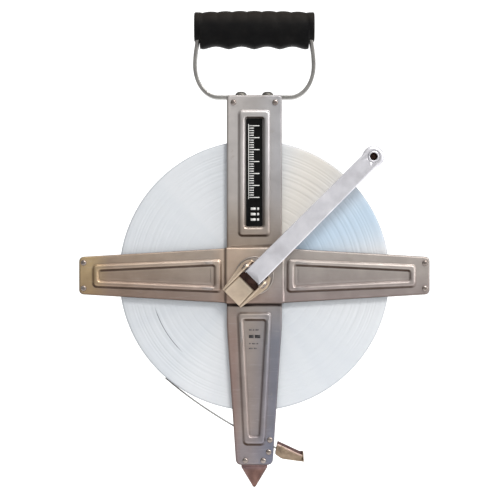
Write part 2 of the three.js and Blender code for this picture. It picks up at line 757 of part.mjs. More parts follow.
// A U bracket: a base on the hub disc, two walls that rise to the pivot's ears, and the pad that
// the arm rests on when it is swung out.
function crankBracket() {
  const { from, to, wall, half, base, sheet, ear } = BRACKET;
  const { rear, front, frontAt } = BRACKET_WALL;
  const side = new THREE.Shape();
  side.moveTo(from, base);
  side.lineTo(to, base);
  side.lineTo(ear, PIVOT_Z);
  side.absarc(0, PIVOT_Z, ear, 0, Math.PI, false);
  side.lineTo(frontAt, front);
  side.lineTo(from, rear);
  side.closePath();
  const walls = [acrossCrank(side, wall, half), acrossCrank(side, -half, -wall)];
  const flare = BRACKET_FLARE.map(([along, across]) => new THREE.Vector2(along, across));
  const other = BRACKET_FLARE.map(([along, across]) => new THREE.Vector2(along, -across));
  const outline = new THREE.Shape([...other, ...flare.reverse()]);
  const floor = solidOf(slab(outline, base, base + sheet));
  const pad = solidOf(slab(rectangle(PAD.from, -PAD.half, PAD.to, PAD.half), base, PAD.top));
  const holes = [drill(0, 0, AXLE.hole, 24), pivotDrill(PIVOT.hole)];
  return geometryOf(carved(floor, [...walls, pad], holes));
}

function crankPin() {
  const seat = BRACKET.half + 0.2;
  const half = [
    [0, seat + PIVOT.headHeight],
    [PIVOT.head * 0.7, seat + PIVOT.headHeight * 0.75],
    [PIVOT.head, seat + PIVOT.headHeight * 0.2],
    [PIVOT.head, seat],
    [PIVOT.radius, seat],
  ];
  return turned(mirrored(half), 16).rotateX(-Math.PI / 2).translate(0, 0, PIVOT_Z);
}

function crankWasher(sign) {
  const near = CRANK.rootHalf + GAP;
  const far = BRACKET.wall - GAP;
  const flat = ring(PIVOT.hole, PIVOT.washer, near, far, 16).rotateX(-Math.PI / 2);
  return flat.rotateX(sign > 0 ? 0 : Math.PI).translate(0, 0, PIVOT_Z);
}

// The knob's waisted profile runs from its neck under the arm to its rounded end.
function crankKnob() {
  const { top, bottom, bore, recess, recessDepth } = KNOB;
  return turned([
    [bore, top],
    [8.4, top],
    [9.6, top - 1.2],
    [10, top - 6],
    [9.1, 13],
    [9.7, bottom + 4],
    [9.1, bottom + 1],
    [8, bottom],
    [recess, bottom],
    [recess, bottom + recessDepth],
    [bore, bottom + recessDepth],
    [bore, top],
  ], 20);
}

// A hollow-ended rivet that the knob turns on, clinched over the arm's face.
function knobSpindle() {
  const { radius, flange, flangeHeight, cup, cupDepth, foot } = SPINDLE;
  const seat = CRANK_FACE + 0.2;
  const end = KNOB.bottom + KNOB.recessDepth - GAP;
  return turned([
    [0, seat - cupDepth],
    [cup - 0.3, seat - cupDepth],
    [cup, seat + flangeHeight],
    [flange - 0.6, seat + flangeHeight],
    [flange, seat],
    [radius, seat],
    [radius, end],
    [foot, end],
    [foot, end - 1.2],
    [0, end - 1.2],
  ], 16);
}

function crank() {
  const group = new THREE.Group();
  group.rotation.z = CRANK_LEAN;
  const outer = new THREE.Group();
  outer.position.x = CRANK.reach;
  const washer = ring(KNOB.bore, KNOB.washer, KNOB.top + 0.2, CRANK_FACE - CRANK.sheet - 0.2, 16);
  outer.add(
    piece('knob_spindle', knobSpindle(), 'zinc'),
    piece('knob_washer', washer, 'nylon'),
    piece('crank_knob', crankKnob(), 'bright'),
  );
  group.add(
    piece('crank_bracket', crankBracket(), 'bright'),
    piece('crank_pin', crankPin(), 'zinc'),
    piece('crank_washer_left', crankWasher(1), 'zinc'),
    piece('crank_washer_right', crankWasher(-1), 'zinc'),
    piece('crank_arm', crankArm(), 'bright'),
    outer,
  );
  return group;
}

// ---------------------------------------------------------------- tape's end

const leaderDirection = new THREE.Vector2(Math.cos(LEADER_SLOPE), Math.sin(LEADER_SLOPE));
const eyeStart = BETWEEN_ROLLERS.clone().addScaledVector(leaderDirection, EYE.reach);
const leaderLeft = new THREE.Vector2(-leaderDirection.y, leaderDirection.x);
const hookPin = eyeStart.clone().addScaledVector(leaderLeft, EYE.radius);

// The blade springs off the pack along its tangent, runs between the rollers and ends in an eye
// rolled round the hook's pin.
function tapeLeader() {
  const radius = PACK_RADIUS + LEADER_CLEAR;
  const start = new THREE.Vector2(Math.cos(LEAVES_PACK_AT), Math.sin(LEAVES_PACK_AT))
    .multiplyScalar(radius);
  const tangent = new THREE.Vector2(-start.y, start.x).normalize();
  const free = new THREE.CubicBezierCurve(
    start,
    start.clone().addScaledVector(tangent, LEADER_PULL.pack),
    BETWEEN_ROLLERS.clone().addScaledVector(leaderDirection, -LEADER_PULL.rollers),
    BETWEEN_ROLLERS,
  ).getPoints(16);
  const firstAngle = Math.atan2(eyeStart.y - hookPin.y, eyeStart.x - hookPin.x);
  const eye = spread(firstAngle, firstAngle + EYE.wrap, 10).map((angle) => (
    new THREE.Vector2(Math.cos(angle), Math.sin(angle)).multiplyScalar(EYE.radius).add(hookPin)
  ));
  const line = [...free, ...eye];
  const half = LEADER_THICKNESS / 2;
  const shape = new THREE.Shape([...beside(line, -half), ...beside(line, half).reverse()]);
  return slab(shape, -TAPE_WIDTH / 2, TAPE_WIDTH / 2);
}

// A channel folded from sheet, open above and towards the reel, closed at its far end.
function endHook() {
  const { half, sheet, hole } = HOOK;
  const within = half - sheet;
  return geometryOf(carved(solidOf(slab(outline(HOOK_SIDE), -half, half)), [], [
    solidOf(slab(outline(HOOK_INSIDE), -within, within)),
    drill(hookPin.x, hookPin.y, hole),
  ]));
}

function hookPinPiece() {
  const { pin, head, headHeight } = HOOK;
  const seat = HOOK.half + 0.2;
  const half = [[0, seat + headHeight], [head * 0.7, seat + headHeight * 0.9], [head, seat], [pin, seat]];
  return turned(mirrored(half), 12);
}

function tapeEnd() {
  return [
    piece('tape_leader', tapeLeader(), 'blade'),
    piece('end_hook', endHook(), 'tan'),
    placed(piece('hook_pin', hookPinPiece(), 'tan'), hookPin.x, hookPin.y),
  ];
}

// ---------------------------------------------------------------- assembly

const reel = new THREE.Group();
reel.rotation.x = Math.PI / 2;
reel.position.z = -GRIP.middle;
reel.add(
  ...framePlates(),
  ...fasteners(),
  ...tapeGuides(),
  ...handle(),
  piece('ground_spike', groundSpike(), 'rust'),
  piece('label_plate', labelPlate(), 'black'),
  ...reelPieces(),
  crank(),
  ...tapeEnd(),
);

const tapeReel = new THREE.Group();
tapeReel.name = 'surveyor_tape_reel';
tapeReel.add(reel);

export default tapeReel;
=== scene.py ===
# Looks of the surveyor's open-frame tape reel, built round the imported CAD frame.
#
# Every piece is drawn as the reel is seen from the front, in millimetres: x to the right, y up
# and z out of the front face, with the axle at x = y = 0. `stand` turns that drawing into the row
# frame.

import json
import math

import bmesh
import bpy
from mathutils import Matrix, Vector
from mathutils.geometry import delaunay_2d_cdt


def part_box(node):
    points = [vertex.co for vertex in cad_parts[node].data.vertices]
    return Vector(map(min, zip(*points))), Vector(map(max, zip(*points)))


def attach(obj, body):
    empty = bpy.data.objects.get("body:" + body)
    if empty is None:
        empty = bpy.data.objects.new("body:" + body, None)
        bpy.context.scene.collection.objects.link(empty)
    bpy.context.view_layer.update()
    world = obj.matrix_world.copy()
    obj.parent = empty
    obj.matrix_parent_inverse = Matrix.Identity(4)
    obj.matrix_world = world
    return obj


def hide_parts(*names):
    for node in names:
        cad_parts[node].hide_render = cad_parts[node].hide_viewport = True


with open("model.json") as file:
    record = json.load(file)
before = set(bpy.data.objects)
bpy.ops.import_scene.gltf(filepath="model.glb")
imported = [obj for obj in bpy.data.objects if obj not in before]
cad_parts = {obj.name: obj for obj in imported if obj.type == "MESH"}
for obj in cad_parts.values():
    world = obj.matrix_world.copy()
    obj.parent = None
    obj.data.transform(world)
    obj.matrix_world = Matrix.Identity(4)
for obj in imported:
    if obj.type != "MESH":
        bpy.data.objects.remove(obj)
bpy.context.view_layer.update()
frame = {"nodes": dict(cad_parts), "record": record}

JOINTS = {joint["name"]: joint for joint in frame["record"]["behaviour"]["joints"]}
HUB = Vector(JOINTS["reel_spin"]["pos_m"])
MM = 0.001
HUB_Z = HUB.z / MM
FOOT, TAPE_WIDTH = 304.8, 12.7


def stand(point):
    """A point of the drawing, in the row frame."""
    x, y, z = point
    return Vector((HUB.x + x * MM, HUB.y - z * MM, HUB.z + y * MM))


def drawn_box(node):
    """A CAD node's (lowest, highest) corners in the drawing, in millimetres."""
    low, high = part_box(node)
    return (
        Vector((low.x - HUB.x, low.z - HUB.z, HUB.y - high.y)) / MM,
        Vector((high.x - HUB.x, high.z - HUB.z, HUB.y - low.y)) / MM,
    )


def drawn_point(point):
    """A point of the row frame, in the drawing's millimetres."""
    x, y, z = point
    return Vector(((x - HUB.x) / MM, (z - HUB.z) / MM, (HUB.y - y) / MM))


# ---------------------------------------------------------------- mesh helpers


def spread(start, end, count):
    """count + 1 evenly spaced numbers, both ends included."""
    return [start + (end - start) * i / count for i in range(count + 1)]


def smoothstep(edge0, edge1, value):
    t = min(max((value - edge0) / (edge1 - edge0), 0.0), 1.0)
    return t * t * (3 - 2 * t)


def curve(start, pull, end, steps):
    """Points of a smooth bend from start to end, drawn towards pull."""
    return [
        (1 - t) ** 2 * start + 2 * t * (1 - t) * pull + t * t * end for t in spread(0, 1, steps)
    ]


def rounded(corners, steps=8):
    """Points round counter-clockwise corners (x, y, radius), each corner a smooth curve."""
    points = []
    for i, (x, y, radius) in enumerate(corners):
        corner = Vector((x, y))
        if not radius:
            points.append(corner)
            continue
        before = Vector(corners[i - 1][:2])
        after = Vector(corners[(i + 1) % len(corners)][:2])
        start = corner + (before - corner).normalized() * radius
        end = corner + (after - corner).normalized() * radius
        points += curve(start, corner, end, steps)
    return points


def inset(corners, distance, least=0.35):
    """The same corners moved inwards by distance, or outwards where it is negative."""
    moved = []
    for i, (x, y, radius) in enumerate(corners):
        corner = Vector((x, y))
        arriving = (corner - Vector(corners[i - 1][:2])).normalized()
        leaving = (Vector(corners[(i + 1) % len(corners)][:2]) - corner).normalized()
        step = distance / (1 + arriving.dot(leaving))
        side = (arriving + leaving) * step
        moved.append((x - side.y, y + side.x, max(radius - distance, least) if radius else 0))
    return moved


def oblong(x0, y0, x1, y1, radius, upper=None):
    """An oblong's corners, the upper two with a radius of their own where one is given."""
    upper = radius if upper is None else upper
    return [(x0, y0, radius), (x1, y0, radius), (x1, y1, upper), (x0, y1, upper)]


def divided(corners, longest, like=None):
    """Corners (x, y, radius) with further points of no radius along each long edge.

    `like` are the corners of a similar shape, whose edges get the same number of points. The
    edges bow out by a hair, so that no three points are in line.
    """
    result = []
    for i, (x, y, radius) in enumerate(corners):
        result.append((x, y, radius))
        next_x, next_y, next_radius = corners[(i + 1) % len(corners)]
        length = math.hypot(next_x - x, next_y - y)
        start, end = 1.5 * radius + 0.5, length - 1.5 * next_radius - 0.5
        if like:
            a, b = like[i], like[(i + 1) % len(like)]
            whole = math.hypot(b[0] - a[0], b[1] - a[1]) - 1.5 * (a[2] + b[2]) - 1
        else:
            whole = end - start
        steps = round(whole / longest + 0.01)
        for k in range(steps + 1) if steps > 0 else ():
            t = (start + (end - start) * k / steps) / length
            bow = 0.12 * t * (1 - t) / length
            result.append((
                x + (next_x - x) * t + (next_y - y) * bow,
                y + (next_y - y) * t - (next_x - x) * bow, 0,
            ))
    return result


def bridge(mesh, lower, upper, closed=True):
    """Quads between two rows of vertices, or triangles where one row is a single vertex."""
    count = max(len(lower), len(upper))
    for i in range(count if closed else count - 1):
        pair = (i, (i + 1) % count)
        corners = [lower[k % len(lower)] for k in pair]
        corners += [upper[k % len(upper)] for k in reversed(pair)]
        corners = list(dict.fromkeys(corners))
        if len(corners) > 2:
            mesh.faces.new(corners)


def loft(mesh, rows, closed_rows=True, closed_along=False):
    """Quads over rows of points, which are returned as vertices."""
    made = [[mesh.verts.new(point) for point in row] for row in rows]
    for lower, upper in zip(made, made[1:]):
        bridge(mesh, lower, upper, closed_rows)
    if closed_along:
        bridge(mesh, made[-1], made[0], closed_rows)
    return made


def fill_flat(mesh, loops, extra):
    """Triangles over the flat area inside the first loop of vertices and outside the others.

    `extra` are further points (x, y) that the triangles pass through.
    """
    level = loops[0][0].co.z
    edges = []
    start = 0
    for loop in loops:
        count = len(loop)
        edges.extend((start + i, start + (i + 1) % count) for i in range(count))
        start += count
    vertices = [vertex for loop in loops for vertex in loop]
    vertices += [mesh.verts.new((x, y, level)) for x, y in extra]
    flat = [vertex.co.xy for vertex in vertices]
    points, _, faces, origins, *_ = delaunay_2d_cdt(flat, edges, [], 0, 1e-5)
    outer, *inner = [[vertex.co.copy() for vertex in loop] for loop in loops]
    for face in faces:
        middle = sum((points[i] for i in face), Vector((0, 0))) / len(face)
        if not inside(middle, outer) or any(inside(middle, hole) for hole in inner):
            continue
        corners = [vertices[origins[i][0]] for i in face if origins[i]]
        if len(corners) == 3 and len(set(corners)) == 3:
            mesh.faces.new(corners)


def inside(point, loop):
    """Whether a point lies within a closed loop, seen from the front."""
    hit = False
    for i, a in enumerate(loop):
        b = loop[i - 1]
        if (a.y > point.y) != (b.y > point.y):
            if point.x < (b.x - a.x) * (point.y - a.y) / (b.y - a.y) + a.x:
                hit = not hit
    return hit


def placed(mesh, name, material):
    """A smooth object of one material in the scene, made of a bmesh."""
    data = bpy.data.meshes.new(name)
    mesh.to_mesh(data)
    mesh.free()
    data.shade_smooth()
    data.materials.append(material)
    piece = bpy.data.objects.new(name, data)
    bpy.context.collection.objects.link(piece)
    return piece


def finished(mesh, name, material, body, slot, node=None, place=None, skin=False):
    """Turns a bmesh of drawing millimetres into a piece that rides on its CAD body.

    It stands for a CAD node where one is named. A skin is an open surface, whose faces are
    turned to look along +z.
    """
    bmesh.ops.remove_doubles(mesh, verts=mesh.verts, dist=1e-4)
    loose = [vertex for vertex in mesh.verts if not vertex.link_faces]
    bmesh.ops.delete(mesh, geom=loose, context="VERTS")
    bmesh.ops.recalc_face_normals(mesh, faces=mesh.faces)
    if skin and sum(face.normal.z * face.calc_area() for face in mesh.faces) < 0:
        bmesh.ops.reverse_faces(mesh, faces=mesh.faces)
    if place is not None:
        mesh.transform(place)
    for vertex in mesh.verts:
        vertex.co = stand(vertex.co)
    piece = placed(mesh, name, material)
    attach(piece, body)
    if node:
        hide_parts(node)
    return piece


def painted(piece, material, chosen):
    """Gives a further material to the faces that `chosen` picks by middle and normal."""
    piece.data.materials.append(material)
    for face in piece.data.polygons:
        if chosen(drawn_point(face.center), face.normal):
            face.material_index = len(piece.data.materials) - 1


def modified(piece, name, kind, **settings):
    modifier = piece.modifiers.new(name, kind)
    for key, value in settings.items():
        setattr(modifier, key, value)
    return piece


def bevelled(piece, width, segments=3, angle=30):
    return modified(
        piece, "bevel", "BEVEL", width=width * MM, segments=segments, limit_method="ANGLE",
        angle_limit=math.radians(angle), harden_normals=False,
    )


def weighted(piece):
    return modified(piece, "normals", "WEIGHTED_NORMAL", keep_sharp=True, weight=70)


def thickened(piece, thickness):
    """Gives a skin its sheet's thickness, inwards."""
    return modified(
        piece, "sheet", "SOLIDIFY", thickness=thickness * MM, offset=-1, use_even_offset=False,
    )


def prism(mesh, outline, low, high):
    """A closed prism over an outline of points (x, y)."""
    bottom = [mesh.verts.new((x, y, low)) for x, y in outline]
    top = [mesh.verts.new((x, y, high)) for x, y in outline]
    bridge(mesh, bottom, top)
    mesh.faces.new(top)
    mesh.faces.new(list(reversed(bottom)))
    return bottom + top


def lathe(mesh, profile, segments=48, centre=(0, 0), ring=False):
    """A profile of (radius, z) turned about a line along z; radius 0 closes an end.

    A ring's profile comes round to its start.
    """
    turns = [2 * math.pi * i / segments for i in range(segments)]
    rows = []
    for radius, along in profile:
        rows.append([
            mesh.verts.new((
                centre[0] + radius * math.cos(turn), centre[1] + radius * math.sin(turn), along,
            ))
            for turn in (turns if radius else turns[:1])
        ])
    for lower, upper in zip(rows, rows[1:] + rows[:1] if ring else rows[1:]):
        bridge(mesh, lower, upper)


def softened(profile, radius=0.3, steps=3, closed=False):
    """A profile with its corners rounded off, so that edges catch the light."""
    points = [Vector(point) for point in profile]
    result = []
    for i, point in enumerate(points):
        before, after = points[i - 1], points[(i + 1) % len(points)]
        back, ahead = before - point, after - point
        reach = min(radius, back.length * 0.45, ahead.length * 0.45)
        is_end = not closed and i in (0, len(points) - 1)
        if is_end or reach < 1e-3 or back.angle(ahead, math.pi) > 3.05:
            result.append(tuple(point))
            continue
        start = point + back.normalized() * reach
        end = point + ahead.normalized() * reach
        result += [tuple(p) for p in curve(start, point, end, steps)]
    return result


def mirrored(profile):
    """A profile for z >= 0 completed by its mirror image below."""
    return list(profile) + [(radius, -along) for radius, along in reversed(profile)]


def turned(name, profile, segments, looks, soft=None, centre=(0, 0), place=None):
    """A turned piece of (material, body, slot, node); the slot is not used.

    `soft` (radius, steps) is for a ring, and rounds its edges off.
    """
    mesh = bmesh.new()
    if soft:
        profile = softened(profile, *soft, closed=True)
    lathe(mesh, profile, segments, centre, bool(soft))
    return finished(mesh, name, *looks, place)


def about(place):
    """Turns a piece drawn about z so that it lies along y, at a place in the drawing."""
    return Matrix.Translation(place) @ Matrix.Rotation(-math.pi / 2, 4, "X")


# ---------------------------------------------------------------- materials


class Finish:
    """One material's node tree, built on its Principled shader."""

    def __init__(self, name, **uniform):
        self.material = bpy.data.materials.new(name)
        self.material.use_nodes = True
        self.tree = self.material.node_tree
        self.shader = self.tree.nodes["Principled BSDF"]
        for socket, value in uniform.items():
            self.shader.inputs[socket.replace("_", " ")].default_value = value
        self.coords = self.add("TexCoord")["Object"]

    def add(self, kind, sockets=(), **settings):
        """Adds a node, links or sets its sockets, and returns its outputs."""
        node = self.tree.nodes.new("ShaderNode" + kind)
        for key, value in settings.items():
            setattr(node, key, value)
        for key, value in dict(sockets).items():
            self.feed(node.inputs[key], value)
        return node.outputs

    def feed(self, socket, value):
        """Links an output to a socket, or sets a plain value on it."""
        if isinstance(value, bpy.types.NodeSocket):
            self.tree.links.new(value, socket)
        else:
            socket.default_value = value

    def axes(self, vector=None):
        return self.add("SeparateXYZ", {0: vector or self.coords})

    def stretched(self, scale):
        return self.add("Mapping", {"Vector": self.coords, "Scale": scale})["Vector"]

    def noise(self, scale, vector=None, detail=4.0, rough=0.55, distortion=0.0):
        return self.add("TexNoise", {
            "Vector": vector or self.coords, "Scale": scale, "Detail": detail,
            "Roughness": rough, "Distortion": distortion,
        })["Fac"]

    def ramp(self, value, *stops):
        """A colour that follows a value; stops are (position, (r, g, b))."""
        result = self.add("ValToRGB", {"Fac": value})["Color"]
        elements = result.node.color_ramp.elements
        while len(elements) < len(stops):
            elements.new(0.5)
        for element, (position, colour) in zip(elements, stops):
            element.position = position
            element.color = (*colour, 1)
        return result

    def mix(self, factor, first, second, blend="MIX"):
        ends = [(*end, 1) if isinstance(end, tuple) else end for end in (first, second)]
        sockets = {0: factor, 6: ends[0], 7: ends[1]}
        return self.add("Mix", sockets, data_type="RGBA", blend_type=blend)[2]

    def maths(self, operation, *values):
        return self.add("Math", dict(enumerate(values)), operation=operation)[0]

    def times(self, first, second):
        return self.maths("MULTIPLY", first, second)

    def ranged(self, value, low, high, start=0.25, end=0.75):
        """Goes from low to high as a value goes from start to end, and no further."""
        return self.add("MapRange", {
            "Value": value, "From Min": start, "From Max": end, "To Min": low, "To Max": high,
        })["Result"]

    def tinted(self, colour, tint, share, value, start=0.25, end=0.75):
        """Lays up to a share of a tint on a colour, as a value goes from start to end."""
        return self.mix(self.ranged(value, 0, share, start, end), colour, tint)

    def pointiness(self):
        """Over a half on outside edges, and under it in inside corners."""
        return self.add("NewGeometry")["Pointiness"]

    def surface(self, colour, roughness, height=None, depth=0.1, strength=0.5):
        """Sets the colour, the roughness and, from a height in 0..1, bumps `depth` mm deep."""
        self.feed(self.shader.inputs["Base Color"], colour)
        self.feed(self.shader.inputs["Roughness"], roughness)
        if height is not None:
            bump = {"Strength": strength, "Distance": depth * MM, "Height": height}
            self.feed(self.shader.inputs["Normal"], self.add("Bump", bump)["Normal"])
        return self.material


def dimmed(colour, share):
    return tuple(value * share for value in colour)


# Painted shade colours: the first darkens inside corners and bead feet, the second darkens lines
# where plates overlap.
CREASE_SHADE, SEAM_SHADOW = (0.06, 0.038, 0.028), (0.03, 0.02, 0.017)


def steel(name, tones, rough=(0.3, 0.48), metallic=0.9, grain=(1, 1, 1), depth=0.03, stain=None,
          cloud=55, edge=0.35, casts=(), crease=0.0, seams=()):
    """Plated or bare steel: cloudy tone, fine grain, scratches, dull marks, worn edges, and painted
    light and shade.

    casts: (axis, from, to, colour) for painted light and shade, a tone that drifts along the piece,
    in millimetres;
    a further (axis, from, to) after the colour keeps the drift to one part of the piece.
    edge: how far worn edges are brighter, or, where it is negative, how far edges are darkened as
    painted shade.
    crease: how dark the painted shade is in inside corners, and where the mesh's own shade
    attribute puts it.
    seams: (axis, middle, half-width, fade, share) of painted shadow lines, in millimetres.
    """
    make = Finish(name, Metallic=metallic)
    dark, middle, light = tones
    clouds = make.noise(cloud, detail=6, rough=0.5, distortion=0.3)
    colour = make.ramp(clouds, (0.3, dark), (0.5, middle), (0.72, light))
    place = make.axes()
    for axis, start, end, cast, *gates in casts:
        share = make.ranged(place[axis], 0, 1, start * MM, end * MM)
        for gate, closed, opened in gates:
            share = make.times(share, make.ranged(place[gate], 0, 1, closed * MM, opened * MM))
        colour = make.mix(share, colour, cast, "MULTIPLY")
    if stain:
        colour = make.tinted(
            colour, stain, 0.35, make.noise(140, detail=8, rough=0.7), 0.6, 0.72,
        )
    fine = make.noise(2600, make.stretched(grain), detail=3)
    scratches = make.noise(900, make.stretched((0.06, 1, 1.0)), detail=2, distortion=1.2)
    thin = make.ranged(scratches, 0, 1, 0.60, 0.66)
    colour = make.mix(make.times(thin, 0.1), colour, light)
    # Worn edges are lighter; a negative edge darkens edges instead, as painted shade.
    edge_wear_and_shade = tuple(min(1.0, value * 1.25) for value in (light if edge > 0 else dark))
    if edge < 0:
        edge_wear_and_shade = dimmed(edge_wear_and_shade, 0.4)
    colour = make.tinted(colour, edge_wear_and_shade, abs(edge), make.pointiness(), 0.52, 0.6)
    # Painted shade: inside corners, and the vertices marked by the mesh's shade attribute, are
    # darkened.
    if crease:
        laid_shade = make.add("Attribute", attribute_name="painted_shade")["Fac"]
        patchy = make.ranged(make.noise(75, detail=5), 0.92, 1.1)
        corner_shade = make.ranged(make.pointiness(), 0.5, 0, 0.462, 0.497)
        painted_shade = make.times(make.times(make.maths("MAXIMUM", corner_shade, laid_shade), patchy), crease)
        colour = make.mix(make.maths("MINIMUM", painted_shade, 0.97), colour, CREASE_SHADE)
    # Painted shadow along the seams' lines.
    for axis, line, half, fade, share in seams:
        away = make.maths("ABSOLUTE", make.maths("SUBTRACT", place[axis], line * MM))
        colour = make.tinted(colour, SEAM_SHADOW, share, away, (half + fade) * MM, half * MM)
    worn = make.ranged(make.noise(210, detail=5), *rough)
    roughness = make.maths("ADD", worn, make.ranged(fine, -0.04, 0.04))
    return make.surface(colour, roughness, make.mix(0.35, fine, thin), depth)


def polar(make):
    """(unit vector round the axle, radius in metres) of a point of the wound pack."""
    shift = make.add("VectorMath", {0: make.coords, 1: HUB}, operation="SUBTRACT")[0]
    flat = make.add("VectorMath", {0: shift, 1: (1, 0, 1)}, operation="MULTIPLY")[0]
    unit = make.add("VectorMath", {0: flat}, operation="NORMALIZE")[0]
    return unit, make.add("VectorMath", {0: flat}, operation="LENGTH")["Value"]


def wound_edges():
    """The edges of hundreds of turns of coated tape: fine rings, and painted reflection in soft
    sectors and rays that fan out.
    """
    make = Finish("wound_tape_edges", Metallic=0.0, Anisotropic=0.7, Specular_IOR_Level=0.5)
    unit, radius = polar(make)
    x, _, z = make.axes(unit)
    colour = make.ramp(
        make.noise(1.6, unit, detail=3, rough=0.5),
        (0.3, (0.545, 0.575, 0.615)), (0.5, (0.585, 0.61, 0.64)), (0.72, (0.63, 0.645, 0.67)),
    )
    # Painted reflection: a faint warm and a faint cool cast in sectors round the pack.
    warm = make.maths("MULTIPLY_ADD", x, 0.5, make.times(z, 0.86))
    colour = make.tinted(colour, (0.68, 0.61, 0.51), 0.6, warm, 0.93, 1.0)
    cool = make.maths("MULTIPLY_ADD", x, 0.88, make.times(z, 0.47))
    colour = make.tinted(colour, (0.38, 0.52, 0.66), 0.75, cool, 0.955, 1.0)
    along = make.add("CombineXYZ", {0: radius})[0]
    waves = {"Vector": along, "Scale": 320, "Distortion": 0}
    turns = make.add("TexWave", waves, wave_type="BANDS", bands_direction="X")["Fac"]
    uneven = make.noise(2200, along, detail=4, rough=0.7)
    layers = make.noise(330, along, detail=2, rough=0.5)
    rays = make.noise(9, unit, detail=4, rough=0.65)
    colour = make.tinted(colour, (0.40, 0.41, 0.43), 0.06, uneven, 0.55, 0.3)
    colour = make.tinted(colour, (0.46, 0.48, 0.52), 0.05, layers, 0.5, 0.3)
    # Painted reflection: darker, bluer rays fan out round the pack.
    colour = make.tinted(colour, (0.50, 0.53, 0.59), 0.12, rays, 0.5, 0.75)
    # A loose turn leaves a short open gap.
    drifted = make.maths("ADD", radius, make.times(z, 0.0012))
    gap = make.maths("ABSOLUTE", make.maths("SUBTRACT", drifted, 0.0960))
    toward = make.maths("MULTIPLY_ADD", x, -0.846, make.times(z, -0.533))
    nearby = make.ranged(toward, 0, 1, 0.965, 0.985)
    share = make.times(make.ranged(gap, 1, 0, 0.00015, 0.00045), nearby)
    colour = make.mix(share, colour, (0.10, 0.11, 0.13))
    dust = make.noise(260, detail=7, rough=0.75)
    colour = make.tinted(colour, (0.50, 0.48, 0.45), 0.12, dust, 0.56, 0.72)
    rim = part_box("tape_pack")[1].x - HUB.x
    colour = make.tinted(colour, (0.30, 0.32, 0.35), 0.6, radius, rim - 0.0016, rim)
    tangent = make.add("Tangent", direction_type="RADIAL", axis="Y")[0]
    make.feed(make.shader.inputs["Tangent"], tangent)
    height = make.mix(0.4, uneven, turns)
    return make.surface(colour, make.ranged(uneven, 0.42, 0.6), height, 0.12, 0.35)


def graduated_tape(name, ground, round_hub=True):
    """The tape's printed face: a coated ground with ticks across half its width and longer ones."""
    make = Finish(name, Metallic=0.0, Coat_Weight=0.25, Coat_Roughness=0.2)
    run, across, _ = make.axes()
    if round_hub:
        x, _, z = make.axes(polar(make)[0])
        run = make.times(make.maths("ARCTAN2", z, x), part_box("tape_pack")[1].x - HUB.x)

    def ticks(pitch, width, reach):
        phase = make.maths("FRACT", make.maths("DIVIDE", run, pitch * MM))
        thin = make.maths("LESS_THAN", phase, width / pitch)
        return make.times(thin, make.maths("GREATER_THAN", across, (TAPE_WIDTH / 2 - reach) * MM))

    both = make.maths("MAXIMUM", ticks(FOOT / 100, 0.35, 3.6), ticks(FOOT / 10, 0.7, TAPE_WIDTH))
    colour = make.tinted(ground, dimmed(ground, 0.8), 0.25, make.noise(120, detail=6))
    scuffs = make.noise(500, make.stretched((0.2, 1, 0.2)), detail=5, rough=0.7)
    colour = make.mix(both, colour, (0.03, 0.03, 0.035))
    colour = make.tinted(colour, dimmed(ground, 0.7), 0.5, scuffs, 0.6, 0.7)
    return make.surface(colour, make.ranged(scuffs, 0.3, 0.5), scuffs, 0.02)


def moulded_rubber():
    make = Finish("moulded_rubber", Metallic=0.0, Specular_IOR_Level=0.07)
    clouds = make.noise(70, detail=6, rough=0.6)
    colour = make.ramp(
        clouds,
        (0.3, (0.0035, 0.0035, 0.004)), (0.55, (0.0055, 0.0053, 0.0053)),
        (0.75, (0.010, 0.0092, 0.009)),
    )
    # Painted light: the top is made lighter and brown-grey, where light falls on it.
    colour = make.tinted(colour, (0.021, 0.015, 0.010), 0.55, make.axes()[2], 0.0045, 0.0165)
    dust = make.noise(420, detail=8, rough=0.75)
    colour = make.tinted(colour, (0.05, 0.042, 0.034), 0.1, dust, 0.58, 0.75)
    colour = make.tinted(colour, (0.03, 0.026, 0.022), 0.12, make.pointiness(), 0.51, 0.56)
    pebbles = make.add("TexVoronoi", {"Vector": make.coords, "Scale": 1500})["Distance"]
    height = make.mix(0.35, pebbles, make.noise(3000, detail=2))
    return make.surface(colour, make.ranged(clouds, 0.42, 0.6), height, 0.12, 0.5)


def moulded_nylon(name, dark, light):
    make = Finish(name, Metallic=0.0, Subsurface_Weight=0.05)
    colour = make.ramp(make.noise(160, detail=5), (0.3, dark), (0.7, light))
    grime = make.noise(600, detail=7, rough=0.7)
    colour = make.tinted(colour, dimmed(dark, 0.5), 0.3, grime, 0.57, 0.72)
    rings = make.noise(1400, make.stretched((0.2, 1, 0.2)), detail=3)
    return make.surface(colour, make.ranged(rings, 0.4, 0.55), rings, 0.03)


def label_black():
    make = Finish("label_black", Metallic=0.0, Specular_IOR_Level=0.06)
    colour = make.ramp(
        make.noise(90, detail=6), (0.35, (0.003, 0.003, 0.003)), (0.7, (0.008, 0.008, 0.008)),
    )
    scuffs = make.noise(700, make.stretched((1, 1, 0.12)), detail=5, rough=0.7, distortion=0.8)
    colour = make.tinted(colour, (0.06, 0.06, 0.06), 0.2, scuffs, 0.62, 0.72)
    return make.surface(colour, make.ranged(scuffs, 0.28, 0.5), scuffs, 0.02)


def printed(name, colour):
    make = Finish(name, Metallic=0.0)
    wear = make.noise(900, detail=6, rough=0.7)
    tone = make.ramp(wear, (0.3, dimmed(colour, 0.8)), (0.6, colour))
    return make.surface(tone, make.ranged(wear, 0.45, 0.6), wear, 0.01)


def sandy_casting():
    make = Finish("sandy_casting", Metallic=0.75)
    clouds = make.noise(80, detail=6)
    colour = make.ramp(clouds, (0.3, (0.36, 0.36, 0.355)), (0.7, (0.52, 0.52, 0.51)))
    sand = make.noise(1900, detail=6, rough=0.75)
    colour = make.tinted(colour, (0.24, 0.235, 0.23), 0.3, sand, 0.5, 0.35)
    return make.surface(colour, make.ranged(sand, 0.5, 0.7), sand, 0.15, 0.7)


